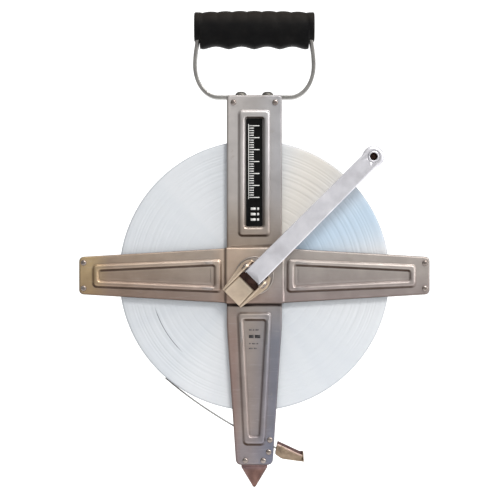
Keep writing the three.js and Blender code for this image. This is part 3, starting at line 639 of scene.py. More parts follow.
def plate_steel(name, seams=(), casts=()):
    """The frame's pressed sheet: warm grey at the top, with painted reflection making it browner in
    the middle and purplish below.
    """
    tones = ((0.47, 0.45, 0.445), (0.525, 0.505, 0.50), (0.575, 0.555, 0.55))
    drift = ((2, -120, -215, (0.80, 0.74, 0.685)), (2, -245, -330, (0.80, 0.77, 0.80)))
    return steel(
        name, tones, rough=(0.36, 0.47), grain=(0.05, 1, 1), stain=(0.36, 0.30, 0.25), edge=-0.55,
        crease=1.0, casts=(*drift, *casts), seams=seams,
    )


# Painted shadow: a dark line under the crossbar's lower edge, and one in the step at the left of
# its raised middle.
UNDER_CROSSBAR, MIDDLE_STEP = (2, HUB_Z - 27.0, 0.8, 1.4, 0.95), (0, -26.4, 0.3, 1.6, 0.7)
# Painted light and shade: the front is darker and browner to the left and cooler to the right.
ACROSS = ((0, 20, -140, (0.82, 0.70, 0.59)), (0, 0, 24, (0.94, 0.96, 1.0)))
LOWER_ARM = (2, HUB_Z - 15, HUB_Z - 60)
# Painted light and shade: these casts darken, tint or lighten parts of the upright's lower arm,
# foot and upper arm.
UPRIGHT_PLATE = plate_steel(
    "pressed_upright", [UNDER_CROSSBAR], (
        *ACROSS,
        (0, -4, 16, (0.66, 0.76, 0.92), LOWER_ARM),
        (0, -12, -18, (0.95, 0.82, 0.80), LOWER_ARM),
        (2, HUB_Z - 138, HUB_Z - 160, (0.80, 0.84, 0.93)),
        (2, HUB_Z + 75, HUB_Z + 32, (0.93, 0.85, 0.76), (2, HUB_Z, HUB_Z + 25)),
        (0, 0, -20, (1.14, 1.15, 1.16), (2, HUB_Z + 40, HUB_Z + 70)),
    ),
)
# Painted light and shade: a lighter band at the hub's height, darker below it, lighter just left of
# the middle, and a lighter, yellower left tip.
CROSSBAR_PLATE = plate_steel(
    "pressed_crossbar", [MIDDLE_STEP], (
        *ACROSS,
        (2, HUB_Z - 12, HUB_Z + 14, (1.18, 1.16, 1.12)),
        (2, HUB_Z + 4, HUB_Z - 22, (0.88, 0.80, 0.80)),
        (0, 22, -10, (1.22, 1.12, 1.02), (0, -40, -26)),
        (0, -134, -150, (1.30, 1.28, 0.98)),
    ),
)
REAR_UPRIGHT_PLATE = plate_steel("pressed_rear_upright", [UNDER_CROSSBAR])
REAR_CROSSBAR_PLATE = plate_steel("pressed_rear_crossbar", [MIDDLE_STEP])
HUB_PLATE = plate_steel("turned_hub", casts=ACROSS)
CRANK_STEEL = steel(
    "crank_steel", ((0.67, 0.66, 0.70), (0.77, 0.765, 0.81), (0.86, 0.85, 0.89)),
    rough=(0.32, 0.46), grain=(1, 1, 0.1), edge=-0.65,
)
PAD_STEEL = steel(
    "tan_plated_steel", ((0.57, 0.46, 0.36), (0.68, 0.56, 0.435), (0.77, 0.66, 0.535)),
    rough=(0.44, 0.56), stain=(0.34, 0.25, 0.16), edge=-0.6, crease=0.7,
)
ZINC = steel(
    "plated_fasteners", ((0.17, 0.14, 0.125), (0.26, 0.22, 0.20), (0.38, 0.34, 0.32)),
    rough=(0.18, 0.3), cloud=160, edge=0.2,
)
STRAP_STEEL = steel(
    "strap_steel", ((0.26, 0.25, 0.24), (0.32, 0.31, 0.295), (0.39, 0.38, 0.36)),
    rough=(0.26, 0.4), grain=(0.1, 1, 1), edge=-0.4,
)
DARK_STEEL = steel(
    "dark_bolts", ((0.07, 0.066, 0.06), (0.12, 0.112, 0.10), (0.20, 0.19, 0.17)),
    rough=(0.34, 0.5), metallic=0.7, cloud=180,
)
# Painted light and shade: lighter and bluer above the spike's shoulder height, darker to the left.
RUST = steel(
    "weathered_spike", ((0.085, 0.04, 0.032), (0.135, 0.066, 0.052), (0.20, 0.11, 0.09)),
    rough=(0.45, 0.65), metallic=0.35, stain=(0.08, 0.038, 0.028), depth=0.12, cloud=120,
    casts=(
        (2, HUB_Z - 180, HUB_Z - 176, (1.5, 1.9, 2.4)), (0, -1, -9, (0.66, 0.66, 0.72)),
    ),
)
TAN = steel(
    "hook_steel", ((0.15, 0.105, 0.07), (0.235, 0.172, 0.118), (0.33, 0.25, 0.18)),
    rough=(0.36, 0.54), metallic=0.5, stain=(0.14, 0.09, 0.06), cloud=130,
)
BRONZE = steel(
    "bearing_bronze", ((0.40, 0.27, 0.13), (0.52, 0.37, 0.19), (0.62, 0.47, 0.27)),
    rough=(0.3, 0.46), cloud=160,
)
# Dark oily steel for the axle, also used as painted shade on the bracket's floor and in the knob's
# bore.
OIL_AND_SHADE = steel(
    "oil_and_shade_steel", ((0.035, 0.014, 0.010), (0.06, 0.024, 0.017), (0.10, 0.045, 0.032)),
    rough=(0.4, 0.6), metallic=0.5, cloud=200, edge=0.1,
)
# Painted highlight: a lighter finish for the hook's sloping edge.
HOOK_EDGE_HIGHLIGHT = steel(
    "hook_edge_highlight", ((0.29, 0.20, 0.165), (0.40, 0.29, 0.245), (0.50, 0.385, 0.33)),
    rough=(0.45, 0.6), metallic=0.5, cloud=160,
)
CASTING = sandy_casting()
RUBBER = moulded_rubber()
NYLON = moulded_nylon("nylon", (0.62, 0.60, 0.55), (0.74, 0.72, 0.67))
LABEL = label_black()
PRINT_WHITE = printed("print_white", (0.72, 0.72, 0.70))
PRINT_BLACK = printed("print_black", (0.02, 0.018, 0.02))
PRINT_FAINT = printed("print_faint", (0.11, 0.10, 0.10))
EDGES = wound_edges()
WRAP = graduated_tape("outer_turn", (0.66, 0.68, 0.70))
BLADE = graduated_tape("blade_face", (0.10, 0.095, 0.088), round_hub=False)


# ---------------------------------------------------------------- frame plates

BEAD_HEIGHT = 2.0
SHEET = 1.2
FOLD = 1.7  # outer radius of a folded edge
UPRIGHT_LOW, UPRIGHT_HIGH = drawn_box("front_upright")
CROSSBAR_HIGH = drawn_box("front_crossbar")[1]
FACE = UPRIGHT_HIGH.z - BEAD_HEIGHT
LIP = UPRIGHT_LOW.z
LAP_RAISE = 1.5  # how far the crossbar's middle stands over the arms' face
LAP_FOOT, LAP_END = 28.2, 25.9
DISH = 0.9  # how far the upright is pressed in under the crossbar

# Beads: [start, end, half-width at start, half-width at end] of the outer and the inner outline.
SIDE_BEAD = ((30.1, 148.8, 15.2, 10.3), (37, 143, 9.4, 4.4))
TOP_BEAD = ((36.5, 152.7, 14.5, 14.5), (45, 145.3, 8.2, 8.2))
BOTTOM_BEAD = ((33.7, 155.8, 15.8, 9.9), (41, 147.4, 10, 4.1))
# Distance in from a bead's outline, height there, and how much painted shade it gets.
BEAD_PROFILE = (
    (-1.2, 0, 0), (-0.8, 0, 0.75), (-0.3, 0, 1), (0.1, 0.08, 1), (0.4, 0.36, 1), (0.7, 0.78, 1),
    (1.05, 1.18, 0.75), (1.45, 1.54, 0.35), (1.9, 1.8, 0.1), (2.35, 1.95, 0), (2.8, 2.0, 0),
)
# The side panels are pressed slightly hollow: distance in from the bead, depth.
PANEL_EDGE, PANEL_DISH = 1.2, ((0.8, 0.13), (1.6, 0.19))
# Painted shade on a folded edge's rows.
FOLD_SHADE = (0.8, 0.9, 0.9, 0.7, 0.4, 0.1)  # from where the fold starts up to the face
SHADED_SIDE = Vector((-0.45, -0.89))  # slopes that face low and left get the most painted shade


def panel_corners(panel, radius, turn):
    """A panel's corners, turned about the axle."""
    start, end, start_half, end_half = panel
    c, s = math.cos(turn), math.sin(turn)
    return [
        (x * c - y * s, x * s + y * c, radius)
        for x, y in ((start, -start_half), (end, -end_half), (end, end_half), (start, start_half))
    ]


def lay_shade(mesh, rows, shares, foot, crest, least=0.15):
    """Lays painted shade on rows of vertices, by which way their slope from crest to foot faces."""
    layer = mesh.verts.layers.float["painted_shade"]
    for row, share in zip(rows, shares):
        for vertex, low, high in zip(row, foot, crest):
            facing = Vector((low.co.x - high.co.x, low.co.y - high.co.y)).normalized()
            vertex[layer] = share * max(least, facing.dot(SHADED_SIDE))


def bead(mesh, form, turn):
    """One pressed bead ring with its flat panel; returns its outermost loop of vertices."""
    outer = panel_corners(form[0], 4.4, turn)
    inner = divided(panel_corners(form[1], 2.0, turn), 6, outer)
    outer = divided(outer, 6)

    def row(corners, distance, height):
        return [(*p, FACE + height) for p in rounded(inset(corners, distance, 0.8))]

    rows = [row(outer, distance, height) for distance, height, _ in BEAD_PROFILE]
    rows += [row(inner, -distance, height) for distance, height, _ in reversed(BEAD_PROFILE)]
    if form is SIDE_BEAD:
        rows += [row(inner, PANEL_EDGE + distance, -sunk) for distance, sunk in PANEL_DISH]
    made = loft(mesh, rows)
    shares = [share for _, _, share in BEAD_PROFILE]
    count = len(shares)
    # Painted shade on the bead's slopes, most where they face low and left.
    lay_shade(mesh, made[:count], shares, made[0], made[count - 1])
    lay_shade(mesh, made[count:], shares[::-1], made[2 * count - 1], made[count])
    mesh.faces.new(made[-1])
    return made[0]


def folded_skin(corners, beads, extra):
    """A sheet's outer face: lips all round, rounded folds, beads and the flat between them."""
    mesh = bmesh.new()
    mesh.verts.layers.float.new("painted_shade")
    profile = [(0, LIP), (0, (LIP + FACE - FOLD) / 2), (0, FACE - FOLD)]
    for angle in spread(0, math.pi / 2, 5)[1:]:
        profile.append((FOLD * (1 - math.cos(angle)), FACE - FOLD * (1 - math.sin(angle))))
    profile.append((FOLD + 0.4, FACE))
    corners = divided(corners, 6)
    made = loft(mesh, [[(*p, z) for p in rounded(inset(corners, d))] for d, z in profile])
    # Painted shade on the folded edges, most on the sides that face low and left.
    lay_shade(mesh, made[2:], FOLD_SHADE, made[0], made[-1], 0.5)
    fill_flat(mesh, [made[-1], *(bead(mesh, form, turn) for form, turn in beads)], extra)
    return mesh


def turned_round():
    """The half turn about the upright's line that puts a piece on the back of the reel."""
    return Matrix.Rotation(math.pi, 4, "Y")


def plate_piece(mesh, name, material, place):
    piece = finished(
        mesh, name + "_pressing", material, "frame", "plate_steel", name, place, skin=True,
    )
    weighted(thickened(piece, SHEET))


def upright(name, material, place=None):
    half, top, bottom = UPRIGHT_HIGH.x, UPRIGHT_HIGH.y, -UPRIGHT_LOW.y
    foot_half, taper_from = 16.9, 46
    corners = [
        (-foot_half, -bottom, 5.5), (foot_half, -bottom, 5.5), (half, -taper_from, 0),
        (half, top, 3.4), (-half, top, 3.4), (-half, -taper_from, 0),
    ]
    rows = [side * y for side in (-1, 1) for y in spread(24.6, 29.4, 8)] + spread(-20, 20, 4)
    extra = [(x, y) for y in rows for x in spread(-22.8, 22.8, 24)]
    quarter = math.pi / 2
    mesh = folded_skin(corners, [(TOP_BEAD, quarter), (BOTTOM_BEAD, -quarter)], extra)
    for vertex in mesh.verts:
        x, y, _ = vertex.co
        vertex.co.z -= DISH * smoothstep(28.9, 26.3, abs(y)) * smoothstep(22.9, 21.2, abs(x))
    plate_piece(mesh, name, material, place)


def crossbar(name, material, place=None):
    reach, root_half, tip_half = CROSSBAR_HIGH.x, 25.3, 17.2
    cuts = spread(LAP_END - 0.4, LAP_FOOT + 0.6, 9)
    slope = (root_half - tip_half) / (reach - UPRIGHT_HIGH.x)
    side = []
    for i, x in enumerate(cuts):
        bow = 0.03 * math.sin(math.pi * i / (len(cuts) - 1))
        side.append((x, root_half - max(x - UPRIGHT_HIGH.x, 0) * slope + bow, 0))
    lower = [(-x, -y, 0) for x, y, _ in reversed(side)] + [(x, -y, 0) for x, y, _ in side]
    upper = [(-x, -y, 0) for x, y, _ in lower]
    corners = [(-reach, -tip_half, 4.6), *lower, (reach, -tip_half, 4.6)]
    corners += [(reach, tip_half, 4.6), *upper, (-reach, tip_half, 4.6)]
    columns = cuts + [-x for x in cuts] + spread(-22, 22, 8)
    extra = [(x, y) for x in columns for y in spread(-22.4, 22.4, 16)]
    mesh = folded_skin(corners, [(SIDE_BEAD, 0), (SIDE_BEAD, math.pi)], extra)
    short = FACE - FOLD * 0.6
    for vertex in mesh.verts:
        x, y, z = vertex.co
        over = smoothstep(LAP_FOOT, LAP_END, abs(x))
        vertex.co.z = z + max(short - z, 0) * over + LAP_RAISE * over
        vertex.co.y *= 1 + 0.02 * over
    plate_piece(mesh, name, material, place)


upright("front_upright", UPRIGHT_PLATE)
crossbar("front_crossbar", CROSSBAR_PLATE)
upright("rear_upright", REAR_UPRIGHT_PLATE, turned_round())
crossbar("rear_crossbar", REAR_CROSSBAR_PLATE, turned_round())

# ---------------------------------------------------------------- label and printed marks


def printing(name, boxes, low, high, ink):
    """One piece of several thin oblongs (x0, y0, x1, y1) with small round corners."""
    mesh = bmesh.new()
    for x0, y0, x1, y1 in boxes:
        radius = min(0.4, (x1 - x0) / 3, (y1 - y0) / 3)
        prism(mesh, rounded(oblong(x0, y0, x1, y1, radius), 3), low, high)
    finished(mesh, name, ink, "frame", "label_black")


def label():
    low, high = drawn_box("label_plate")
    mesh = bmesh.new()
    prism(mesh, rounded(oblong(low.x, low.y, high.x, high.y, 1.6)), low.z, high.z)
    plate = finished(mesh, "label", LABEL, "frame", "label_black", "label_plate")
    weighted(bevelled(plate, 0.18, 3))
    marks = []
    # A plain rule: a long tick at every fifth step.
    for i, y in enumerate(spread(72, 138, 30)):
        reach = 9.4 if i % 5 == 0 else 4.2
        marks.append((-4.7, y - 0.42, -4.7 + reach, y + 0.42))
    marks.append((-5.6, 70.4, -5.0, 139.6))
    for y in (50.5, 55.5, 60.5):
        marks += [(-3.4, y, 1.2, y + 2.2), (2.4, y, 4.4, y + 2.2)]
    printing("label_rule_marks", marks, high.z - 0.1, high.z + 0.06, PRINT_WHITE)


def panel_marks(name, ink, lines):
    """Lines of plain printed blocks in the panel below the hub: (top, height, block widths)."""
    boxes = []
    for y, height, blocks in lines:
        x = -5.0
        for width in blocks:
            boxes.append((x, y - height, x + width, y))
            x += width + 0.9
    printing(name, boxes, FACE - 0.05, FACE + 0.05, ink)


label()
panel_marks("panel_marks_bold", PRINT_BLACK, [(-54.6, 3.0, (4.4, 5.2))])
panel_marks("panel_marks_faint", PRINT_FAINT, [
    (-49.2, 1.5, (2.6, 1.6, 3.0)), (-62.0, 1.2, (1.8, 3.4, 1.6)), (-66.4, 1.2, (3.6, 2.8)),
])

# ---------------------------------------------------------------- rivets, posts and rollers

SHANK, POST_SHOULDER, PIN_SHOULDER = 1.7, 2.4, 2.2  # radii
PLATE_BACK = 9.7


def dome(radius, seat, height, flat=0.0, steps=7):
    """A domed head's profile, from its top at the axis down to its rim."""
    points = [(0, seat + height)]
    for angle in spread(0, math.pi / 2, steps)[1:]:
        points.append((
            flat + (radius - flat) * math.sin(angle),
            seat + 0.25 + (height - 0.25) * math.cos(angle),
        ))
    points.append((radius, seat))
    return points


def middle_of(node):
    """(x, y) of the middle of a round CAD node, its radius and the height of its end."""
    low, high = drawn_box(node)
    return ((low.x + high.x) / 2, (low.y + high.y) / 2), (high.x - low.x) / 2, high.z


def fastener(name, shoulder=SHANK):
    """A rivet with a domed head on each plate, and a shoulder between them if it has one."""
    centre, radius, top = middle_of(name)
    seat = FACE + 0.02
    half = dome(radius, seat, top - seat, flat=0.5) + [(SHANK, seat), (SHANK, PLATE_BACK)]
    if shoulder > SHANK:
        half += softened([(SHANK, PLATE_BACK), (shoulder, PLATE_BACK), (shoulder, 6)], 0.3)
    looks = (ZINC, "frame", "plated_fasteners", name)
    turned(name + "_formed", mirrored(half), 32, looks, centre=centre)


def roller(level):
    node = f"guide_roller_{level}"
    centre, radius, half = middle_of(node)
    bore = 2.8
    outer = [(radius, -half), (radius, -half + 1.3), (radius - 0.45, -half + 2)]
    profile = [(bore, -half), *outer, *[(r, -z) for r, z in reversed(outer)], (bore, half)]
    looks = (NYLON, f"{level}_roller", "nylon", node)
    turned(f"roller_{level}_turned", profile, 40, looks, (0.35, 3), centre)


for corner in ("left_upper", "left_lower", "right_upper", "right_lower"):
    fastener(f"post_{corner}", POST_SHOULDER)
for corner in ("top_left", "top_right", "spike_left", "spike_right"):
    fastener(f"rivet_{corner}")
for level in ("upper", "lower"):
    fastener(f"guide_pin_{level}", PIN_SHOULDER)
for level in ("upper", "lower"):
    roller(level)

# ---------------------------------------------------------------- handle


def beside(points, distance, closed=False):
    """Points of a line moved sideways, to the left of its direction."""
    count = len(points)
    moved = []
    for i, point in enumerate(points):
        before = points[i - 1] if closed else points[max(i - 1, 0)]
        after = points[(i + 1) % count] if closed else points[min(i + 1, count - 1)]
        along = (after - before).normalized()
        moved.append(Vector((point.x - along.y * distance, point.y + along.x * distance)))
    return moved


def band(mesh, line, thickness, low, high, corner, closed):
    """A flat bar along a line, whose long edges are rounded by `corner`."""
    side_to, low_to, high_to = thickness / 2 - corner, low + corner, high - corner
    section = []
    centres = ((side_to, high_to), (-side_to, high_to), (-side_to, low_to), (side_to, low_to))
    for quarter, (x, z) in enumerate(centres):
        for angle in spread(quarter * math.pi / 2, (quarter + 1) * math.pi / 2, 3):
            section.append((x + corner * math.cos(angle), z + corner * math.sin(angle)))
    columns = [[(*p, z) for p in beside(line, side, closed)] for side, z in section]
    made = loft(mesh, list(zip(*columns)), closed_along=closed)
    if not closed:
        mesh.faces.new(made[0])
        mesh.faces.new(list(reversed(made[-1])))


# The strap's middle line: its foot's and its top's height, and half its width, low and high.
STRAP_FOOT, STRAP_TOP, STRAP_HALF, STRAP_NECK = 164.65, 226.5, 54.85, 53.1
STRAP_THICKNESS = 3.5


def arc(centre, radii, start, end, steps):
    """Points of an ellipse's arc between two angles in degrees."""
    return [
        Vector((
            centre[0] + radii[0] * math.cos(math.radians(angle)),
            centre[1] + radii[1] * math.sin(math.radians(angle)),
        ))
        for angle in spread(start, end, steps)
    ]


def strap():
    low, high = drawn_box("handle_strap")
    corner, bend = (33, 194.15), 14
    right = arc(corner, (STRAP_HALF - corner[0], corner[1] - STRAP_FOOT), -90, 0, 20)
    side_end = Vector((STRAP_NECK, STRAP_TOP - bend))
    pull = Vector((STRAP_HALF, (corner[1] + STRAP_TOP - bend) / 2))
    right += curve(right[-1], pull, side_end, 8)[1:]
    right += arc((STRAP_NECK - bend, STRAP_TOP - bend), (bend, bend), 0, 90, 12)[1:]
    left = [Vector((-point.x, point.y)) for point in reversed(right)]
    mesh = bmesh.new()
    band(mesh, right + left, STRAP_THICKNESS, low.z, high.z, 0.9, True)
    weighted(finished(mesh, "bail", STRAP_STEEL, "frame", "strap_steel", "handle_strap"))


def grip():
    """Moulded grip: finger scallops below, shallow cross ribs above and rolled ends."""
    low, high = drawn_box("handle_grip")
    half, foot_half, ledge, edge = high.x, 50.2, 216, 1.5
    rib_pitch, rib_depth = 13.65, 0.95
    fingers, finger_depth = 23.6, 2.4
    end = [(foot_half + 0.25, 0), (foot_half + 0.7, 0)]
    for angle in spread(0, math.pi / 2, 5):
        end.append((half - edge * (1 - math.sin(angle)), edge * (1 - math.cos(angle))))
    stations = [(-x, rounding) for x, rounding in reversed(end)]
    stations += [(x, 0) for x in spread(-foot_half, foot_half, 150)]
    stations += end
    rows = []
    for x, rounding in stations:
        # The ridges between the fingers are narrower than the scallops.
        scallop = finger_depth * ((1 - math.cos(2 * math.pi * x / fingers)) / 2) ** 0.75
        gone = smoothstep(foot_half, foot_half + 0.7, abs(x))
        bottom = (low.y + scallop) * (1 - gone) + ledge * gone
        top = high.y - 1.4 * (x / half) ** 2
        middle, tall, deep = (top + bottom) / 2, (top - bottom) / 2 - rounding, high.z - rounding
        rib = 0.5 - 0.5 * math.cos(2 * math.pi * (x - rib_pitch / 2) / rib_pitch)
        groove = rib_depth * (1 - rib ** 0.35) * smoothstep(half - 1, half - 5, abs(x))
        row = []
        for angle in spread(0, 2 * math.pi, 56)[:-1]:
            c, s = math.cos(angle), math.sin(angle)
            z = deep * math.copysign(abs(c) ** 0.85, c)
            y = tall * math.copysign(abs(s) ** 0.85, s)
            share = groove * smoothstep(0.1, 0.75, s)
            row.append((x, middle + y * (1 - share / tall), z * (1 - 0.5 * share / deep)))
        rows.append(row)
    mesh = bmesh.new()
    made = loft(mesh, rows)
    for ring in (made[0], made[-1]):
        mesh.faces.new(ring)
    weighted(finished(mesh, "moulded_grip", RUBBER, "frame", "grip_rubber", "handle_grip"))


def handle_block():
    low, high = drawn_box("handle_block")
    mesh = bmesh.new()
    prism(mesh, rounded(oblong(low.x, low.y, high.x, high.y, 2, 1), 4), low.z, high.z)
    piece = finished(mesh, "cast_block", CASTING, "frame", "spool_casting", "handle_block")
    weighted(bevelled(piece, 0.7, 3, 50))


def handle_bolt(side):
    node = f"handle_bolt_{side}"
    low, high = drawn_box(node)
    seat = STRAP_FOOT + STRAP_THICKNESS / 2 + 0.05
    head = dome((high.x - low.x) / 2, seat, high.y - seat, flat=1.2, steps=9)
    profile = [*head, (2.4, seat), (2.4, low.y + 0.6), (1.8, low.y), (0, low.y)]
    place = about(((low.x + high.x) / 2, 0, (low.z + high.z) / 2))
    looks = (DARK_STEEL, "frame", "dark_bolts", node)
    turned(f"bolt_{side}_domed", profile, 40, looks, place=place)


strap()
grip()
handle_block()
handle_bolt("left")
handle_bolt("right")

# ---------------------------------------------------------------- ground spike


def spike():
    low, high = drawn_box("ground_spike")
    half, deep, tip, top = high.x, high.z, low.y, high.y
    shoulder, tang, notch, cut = -176, -167.4, 4, 3
    mesh = bmesh.new()
    outline = [
        (-half, shoulder), (half, shoulder), (half, tang), (notch, tang), (notch, top),
        (-half, top),
    ]
    prism(mesh, outline, -deep, deep)

    def cut_oblong(x, z, corner, y):
        """A level oblong of half-widths x and z at height y, with its corners cut off."""
        return [
            (x, y, -z + corner), (x, y, z - corner), (x - corner, y, z), (-x + corner, y, z),
            (-x, y, z - corner), (-x, y, -z + corner), (-x + corner, y, -z), (x - corner, y, -z),
        ]

    heights = [(1.0, 0), (1.0, 1.1), (0.93, 2.4)]
    rows = [cut_oblong(half * k, deep * k, cut * k, shoulder - down) for k, down in heights]
    rows.append(cut_oblong(1.3, 1.1, 0.45, tip + 0.6))
    rows.append(cut_oblong(0.6, 0.5, 0.2, tip))
    made = loft(mesh, rows)
    mesh.faces.new(made[0])
    mesh.faces.new(list(reversed(made[-1])))
    piece = finished(mesh, "forged_spike", RUST, "frame", "spike_steel", "ground_spike")
    weighted(bevelled(piece, 0.35, 2, 25))


spike()

# ---------------------------------------------------------------- spool, pack and axle

BORE = 6.3  # radius in everything that the axle runs through
SOFT = (0.3, 3)  # how a turned ring's edges are rounded off
HUB_STEPS = 64


def uneven(seed):
    """A repeatable value in 0..1 for each whole number."""
    value = math.sin(seed * 12.9898 + 4.1) * 43758.5453
    return value - math.floor(value)


def tape_pack():
    """The wound tape: its turns' edges stand a little in or out in groups, on both faces."""
    high = drawn_box("tape_pack")[1]
    outer, core, half = high.x, 36.0, high.z
    groups, gap = 72, 0.12
    profile = []
    for i in range(groups):
        inner_edge = core + (outer - core) * i / groups
        outer_edge = core + (outer - core) * (i + 1) / groups
        sunk = {groups - 1: 0.22, groups - 2: 0.08}.get(i, 0.02 + 0.08 * uneven(i) ** 2)
        profile += [(inner_edge + gap, half - sunk), (outer_edge - gap, half - sunk)]
    profile += [(outer - 0.05, half - 0.45), (outer, half - 0.9)]
    lower = [(radius, -along + 0.05 * uneven(i + 500)) for i, (radius, along) in enumerate(profile)]
    mesh = bmesh.new()
    lathe(mesh, profile + list(reversed(lower)), 180, ring=True)
    piece = finished(mesh, "wound_tape", EDGES, "reel", "coated_tape", "tape_pack")
    painted(piece, WRAP, lambda middle, _: math.hypot(middle.x, middle.y) > outer - 0.2)


def drum():
    high = drawn_box("drum_core")[1]
    outer, half, web = high.x, 6.5, 1.6
    upper = [
        (BORE, high.z), (12, high.z), (12.4, web), (outer - 3.2, web), (outer - 3, half),
        (outer, half),
    ]
    looks = (CASTING, "reel", "spool_casting", "drum_core")
    weighted(turned("cast_spool", mirrored(upper), HUB_STEPS, looks, SOFT))


def bearings(side, top, place):
    """A flanged bushing in the plate, and the thrust washer outside it."""
    bushing = [(BORE, 8.3), (11.5, 8.3), (11.5, 9.7), (8.6, 9.7), (8.6, 13), (BORE, 13)]
    looks = (BRONZE, "frame", "bearing_bronze", f"{side}_bushing")
    weighted(turned(f"{side}_bushing_turned", bushing, HUB_STEPS, looks, SOFT, place=place))
    washer = [(BORE, 13.2), (13, 13.2), (13, top), (BORE, top)]
    looks = (NYLON, "reel", "nylon", f"{side}_thrust_washer")
    weighted(turned(f"{side}_washer_cut", washer, HUB_STEPS, looks, SOFT, place=place))


def axle():
    low, high = drawn_box("axle")
    head = high.z - 1.2
    profile = [
        (0, high.z), (5.4, high.z), (6.8, high.z - 0.3), (7.6, high.z - 0.8), (7.8, head),
        (6, head), (6, low.z + 0.6), (5.5, low.z), (3.3, low.z), (3.3, low.z + 13), (0, low.z + 13),
    ]
    looks = (OIL_AND_SHADE, "reel", "plated_fasteners", "axle")
    weighted(turned("axle_turned", profile, HUB_STEPS, looks))


def rear_bolt():
    low, high = drawn_box("rear_axle_bolt")
    seat, across = -14.3, 7.5
    mesh = bmesh.new()
    lathe(mesh, softened([
        (0, seat - 1.2), (9.5, seat - 1.2), (9.5, seat), (3, seat), (3, high.z), (0, high.z),
    ], 0.4), 48)
    turns = [math.radians(60 * i) for i in reversed(range(6))]
    prism(mesh, [(across * math.sin(a), across * math.cos(a)) for a in turns], low.z, seat - 1)
    piece = finished(mesh, "hex_bolt", ZINC, "reel", "plated_fasteners", "rear_axle_bolt")
    weighted(bevelled(piece, 0.35, 2, 40))


def hub_disc():
    profile = [
        (BORE, 14.2), (17.8, 14.2), (17.8, 15.2), (17.3, 15.6), (16.6, 15.6), (16.3, 15.1),
        (15.9, 15.1), (15.6, 15.6), (BORE, 15.6),
    ]
    looks = (HUB_PLATE, "reel", "plate_steel", "hub_disc")
    weighted(turned("hub_disc_turned", profile, 80, looks, SOFT))


tape_pack()
drum()
bearings("front", 14, None)
bearings("rear", 13.9, turned_round())
axle()
rear_bolt()
hub_disc()

# ---------------------------------------------------------------- crank

CRANK_TURN = Matrix.Rotation(math.pi / 4, 4, "Z")
PIVOT = drawn_point(JOINTS["crank_fold"]["pos_m"])
KNOB = drawn_point(JOINTS["knob_spin"]["pos_m"])
REACH = math.hypot(KNOB.x, KNOB.y)
ARM_FACE = PIVOT.z + 5
ARM_SHEET = 1.5


def arm_outline():
    """The arm's blank: square at the pivot and round at the knob, with points along its sides."""
    tail, root_half, tip_half, tip = -2.7, 8.9, 8.1, 8.6
    start = math.degrees(math.asin(tip_half / tip))
    steps = [tail + 0.5, 0, 2, 4, 6, 8, 11, 14, 17, 20, 22, 24, 27]
    steps += spread(32, 132, 20) + spread(135, 144, 9)
    end = REACH - math.sqrt(tip * tip - tip_half * tip_half)
    narrowing = (tip_half - root_half) / (end - tail)
    side = [Vector((u, -(root_half + narrowing * (u - tail)))) for u in steps]
    points = [Vector((tail, -root_half)), *side]
    points += arc((REACH, 0), (tip, tip), -180 + start, 180 - start, 36)
    return points + [Vector((point.x, -point.y)) for point in reversed(points[:len(side) + 1])]


def lip_height(u):
    """How far down the arm's folded edges reach at u along it."""
    if u <= 0:
        return 20.8 + 2 * smoothstep(0, -2.7, u)
    if u < 8:
        return 20.8
    if u < 138:
        return 20.8 + 3.2 * smoothstep(8, 22, u)
    return 24 + 3.9 * smoothstep(138, 141.5, u)


def crank_arm():
    fold = 1.5
    top = ARM_FACE - fold
    outline = arm_outline()
    lips = [lip_height(point.x) for point in outline]
    # Rows of a distance in from the outline and heights: the side, its fold, the face.
    rows = [(0, [lip + (top - lip) * share for lip in lips]) for share in (0, 0.45, 0.9)]
    for angle in spread(0, math.pi / 2, 5):
        height = ARM_FACE - fold * (1 - math.sin(angle))
        rows.append((fold * (1 - math.cos(angle)), [height] * len(outline)))
    rows.append((fold + 0.35, [ARM_FACE] * len(outline)))
    mesh = bmesh.new()
    made = []
    for distance, heights in rows:
        moved = beside(outline, distance, True)
        # The pivot end is cut square with no fold across it.
        moved[0].x, moved[-1].x = outline[0].x, outline[-1].x
        made.append([mesh.verts.new((*point, z)) for point, z in zip(moved, heights)])
    for lower, upper in zip(made, made[1:]):
        bridge(mesh, lower, upper, closed=False)
    hole_radius = 4.5
    hole = [
        mesh.verts.new((REACH + hole_radius * math.cos(a), hole_radius * math.sin(a), ARM_FACE))
        for a in spread(0, 2 * math.pi, 40)[:-1]
    ]
    extra = [(u, v) for u in spread(4, 136, 22) for v in (-5, 0, 5)]
    fill_flat(mesh, [made[-1], hole], extra)
    looks = (CRANK_STEEL, "crank", "crank_steel", "crank_arm")
    piece = finished(mesh, "crank_arm_pressing", *looks, CRANK_TURN, skin=True)
    weighted(thickened(piece, ARM_SHEET))


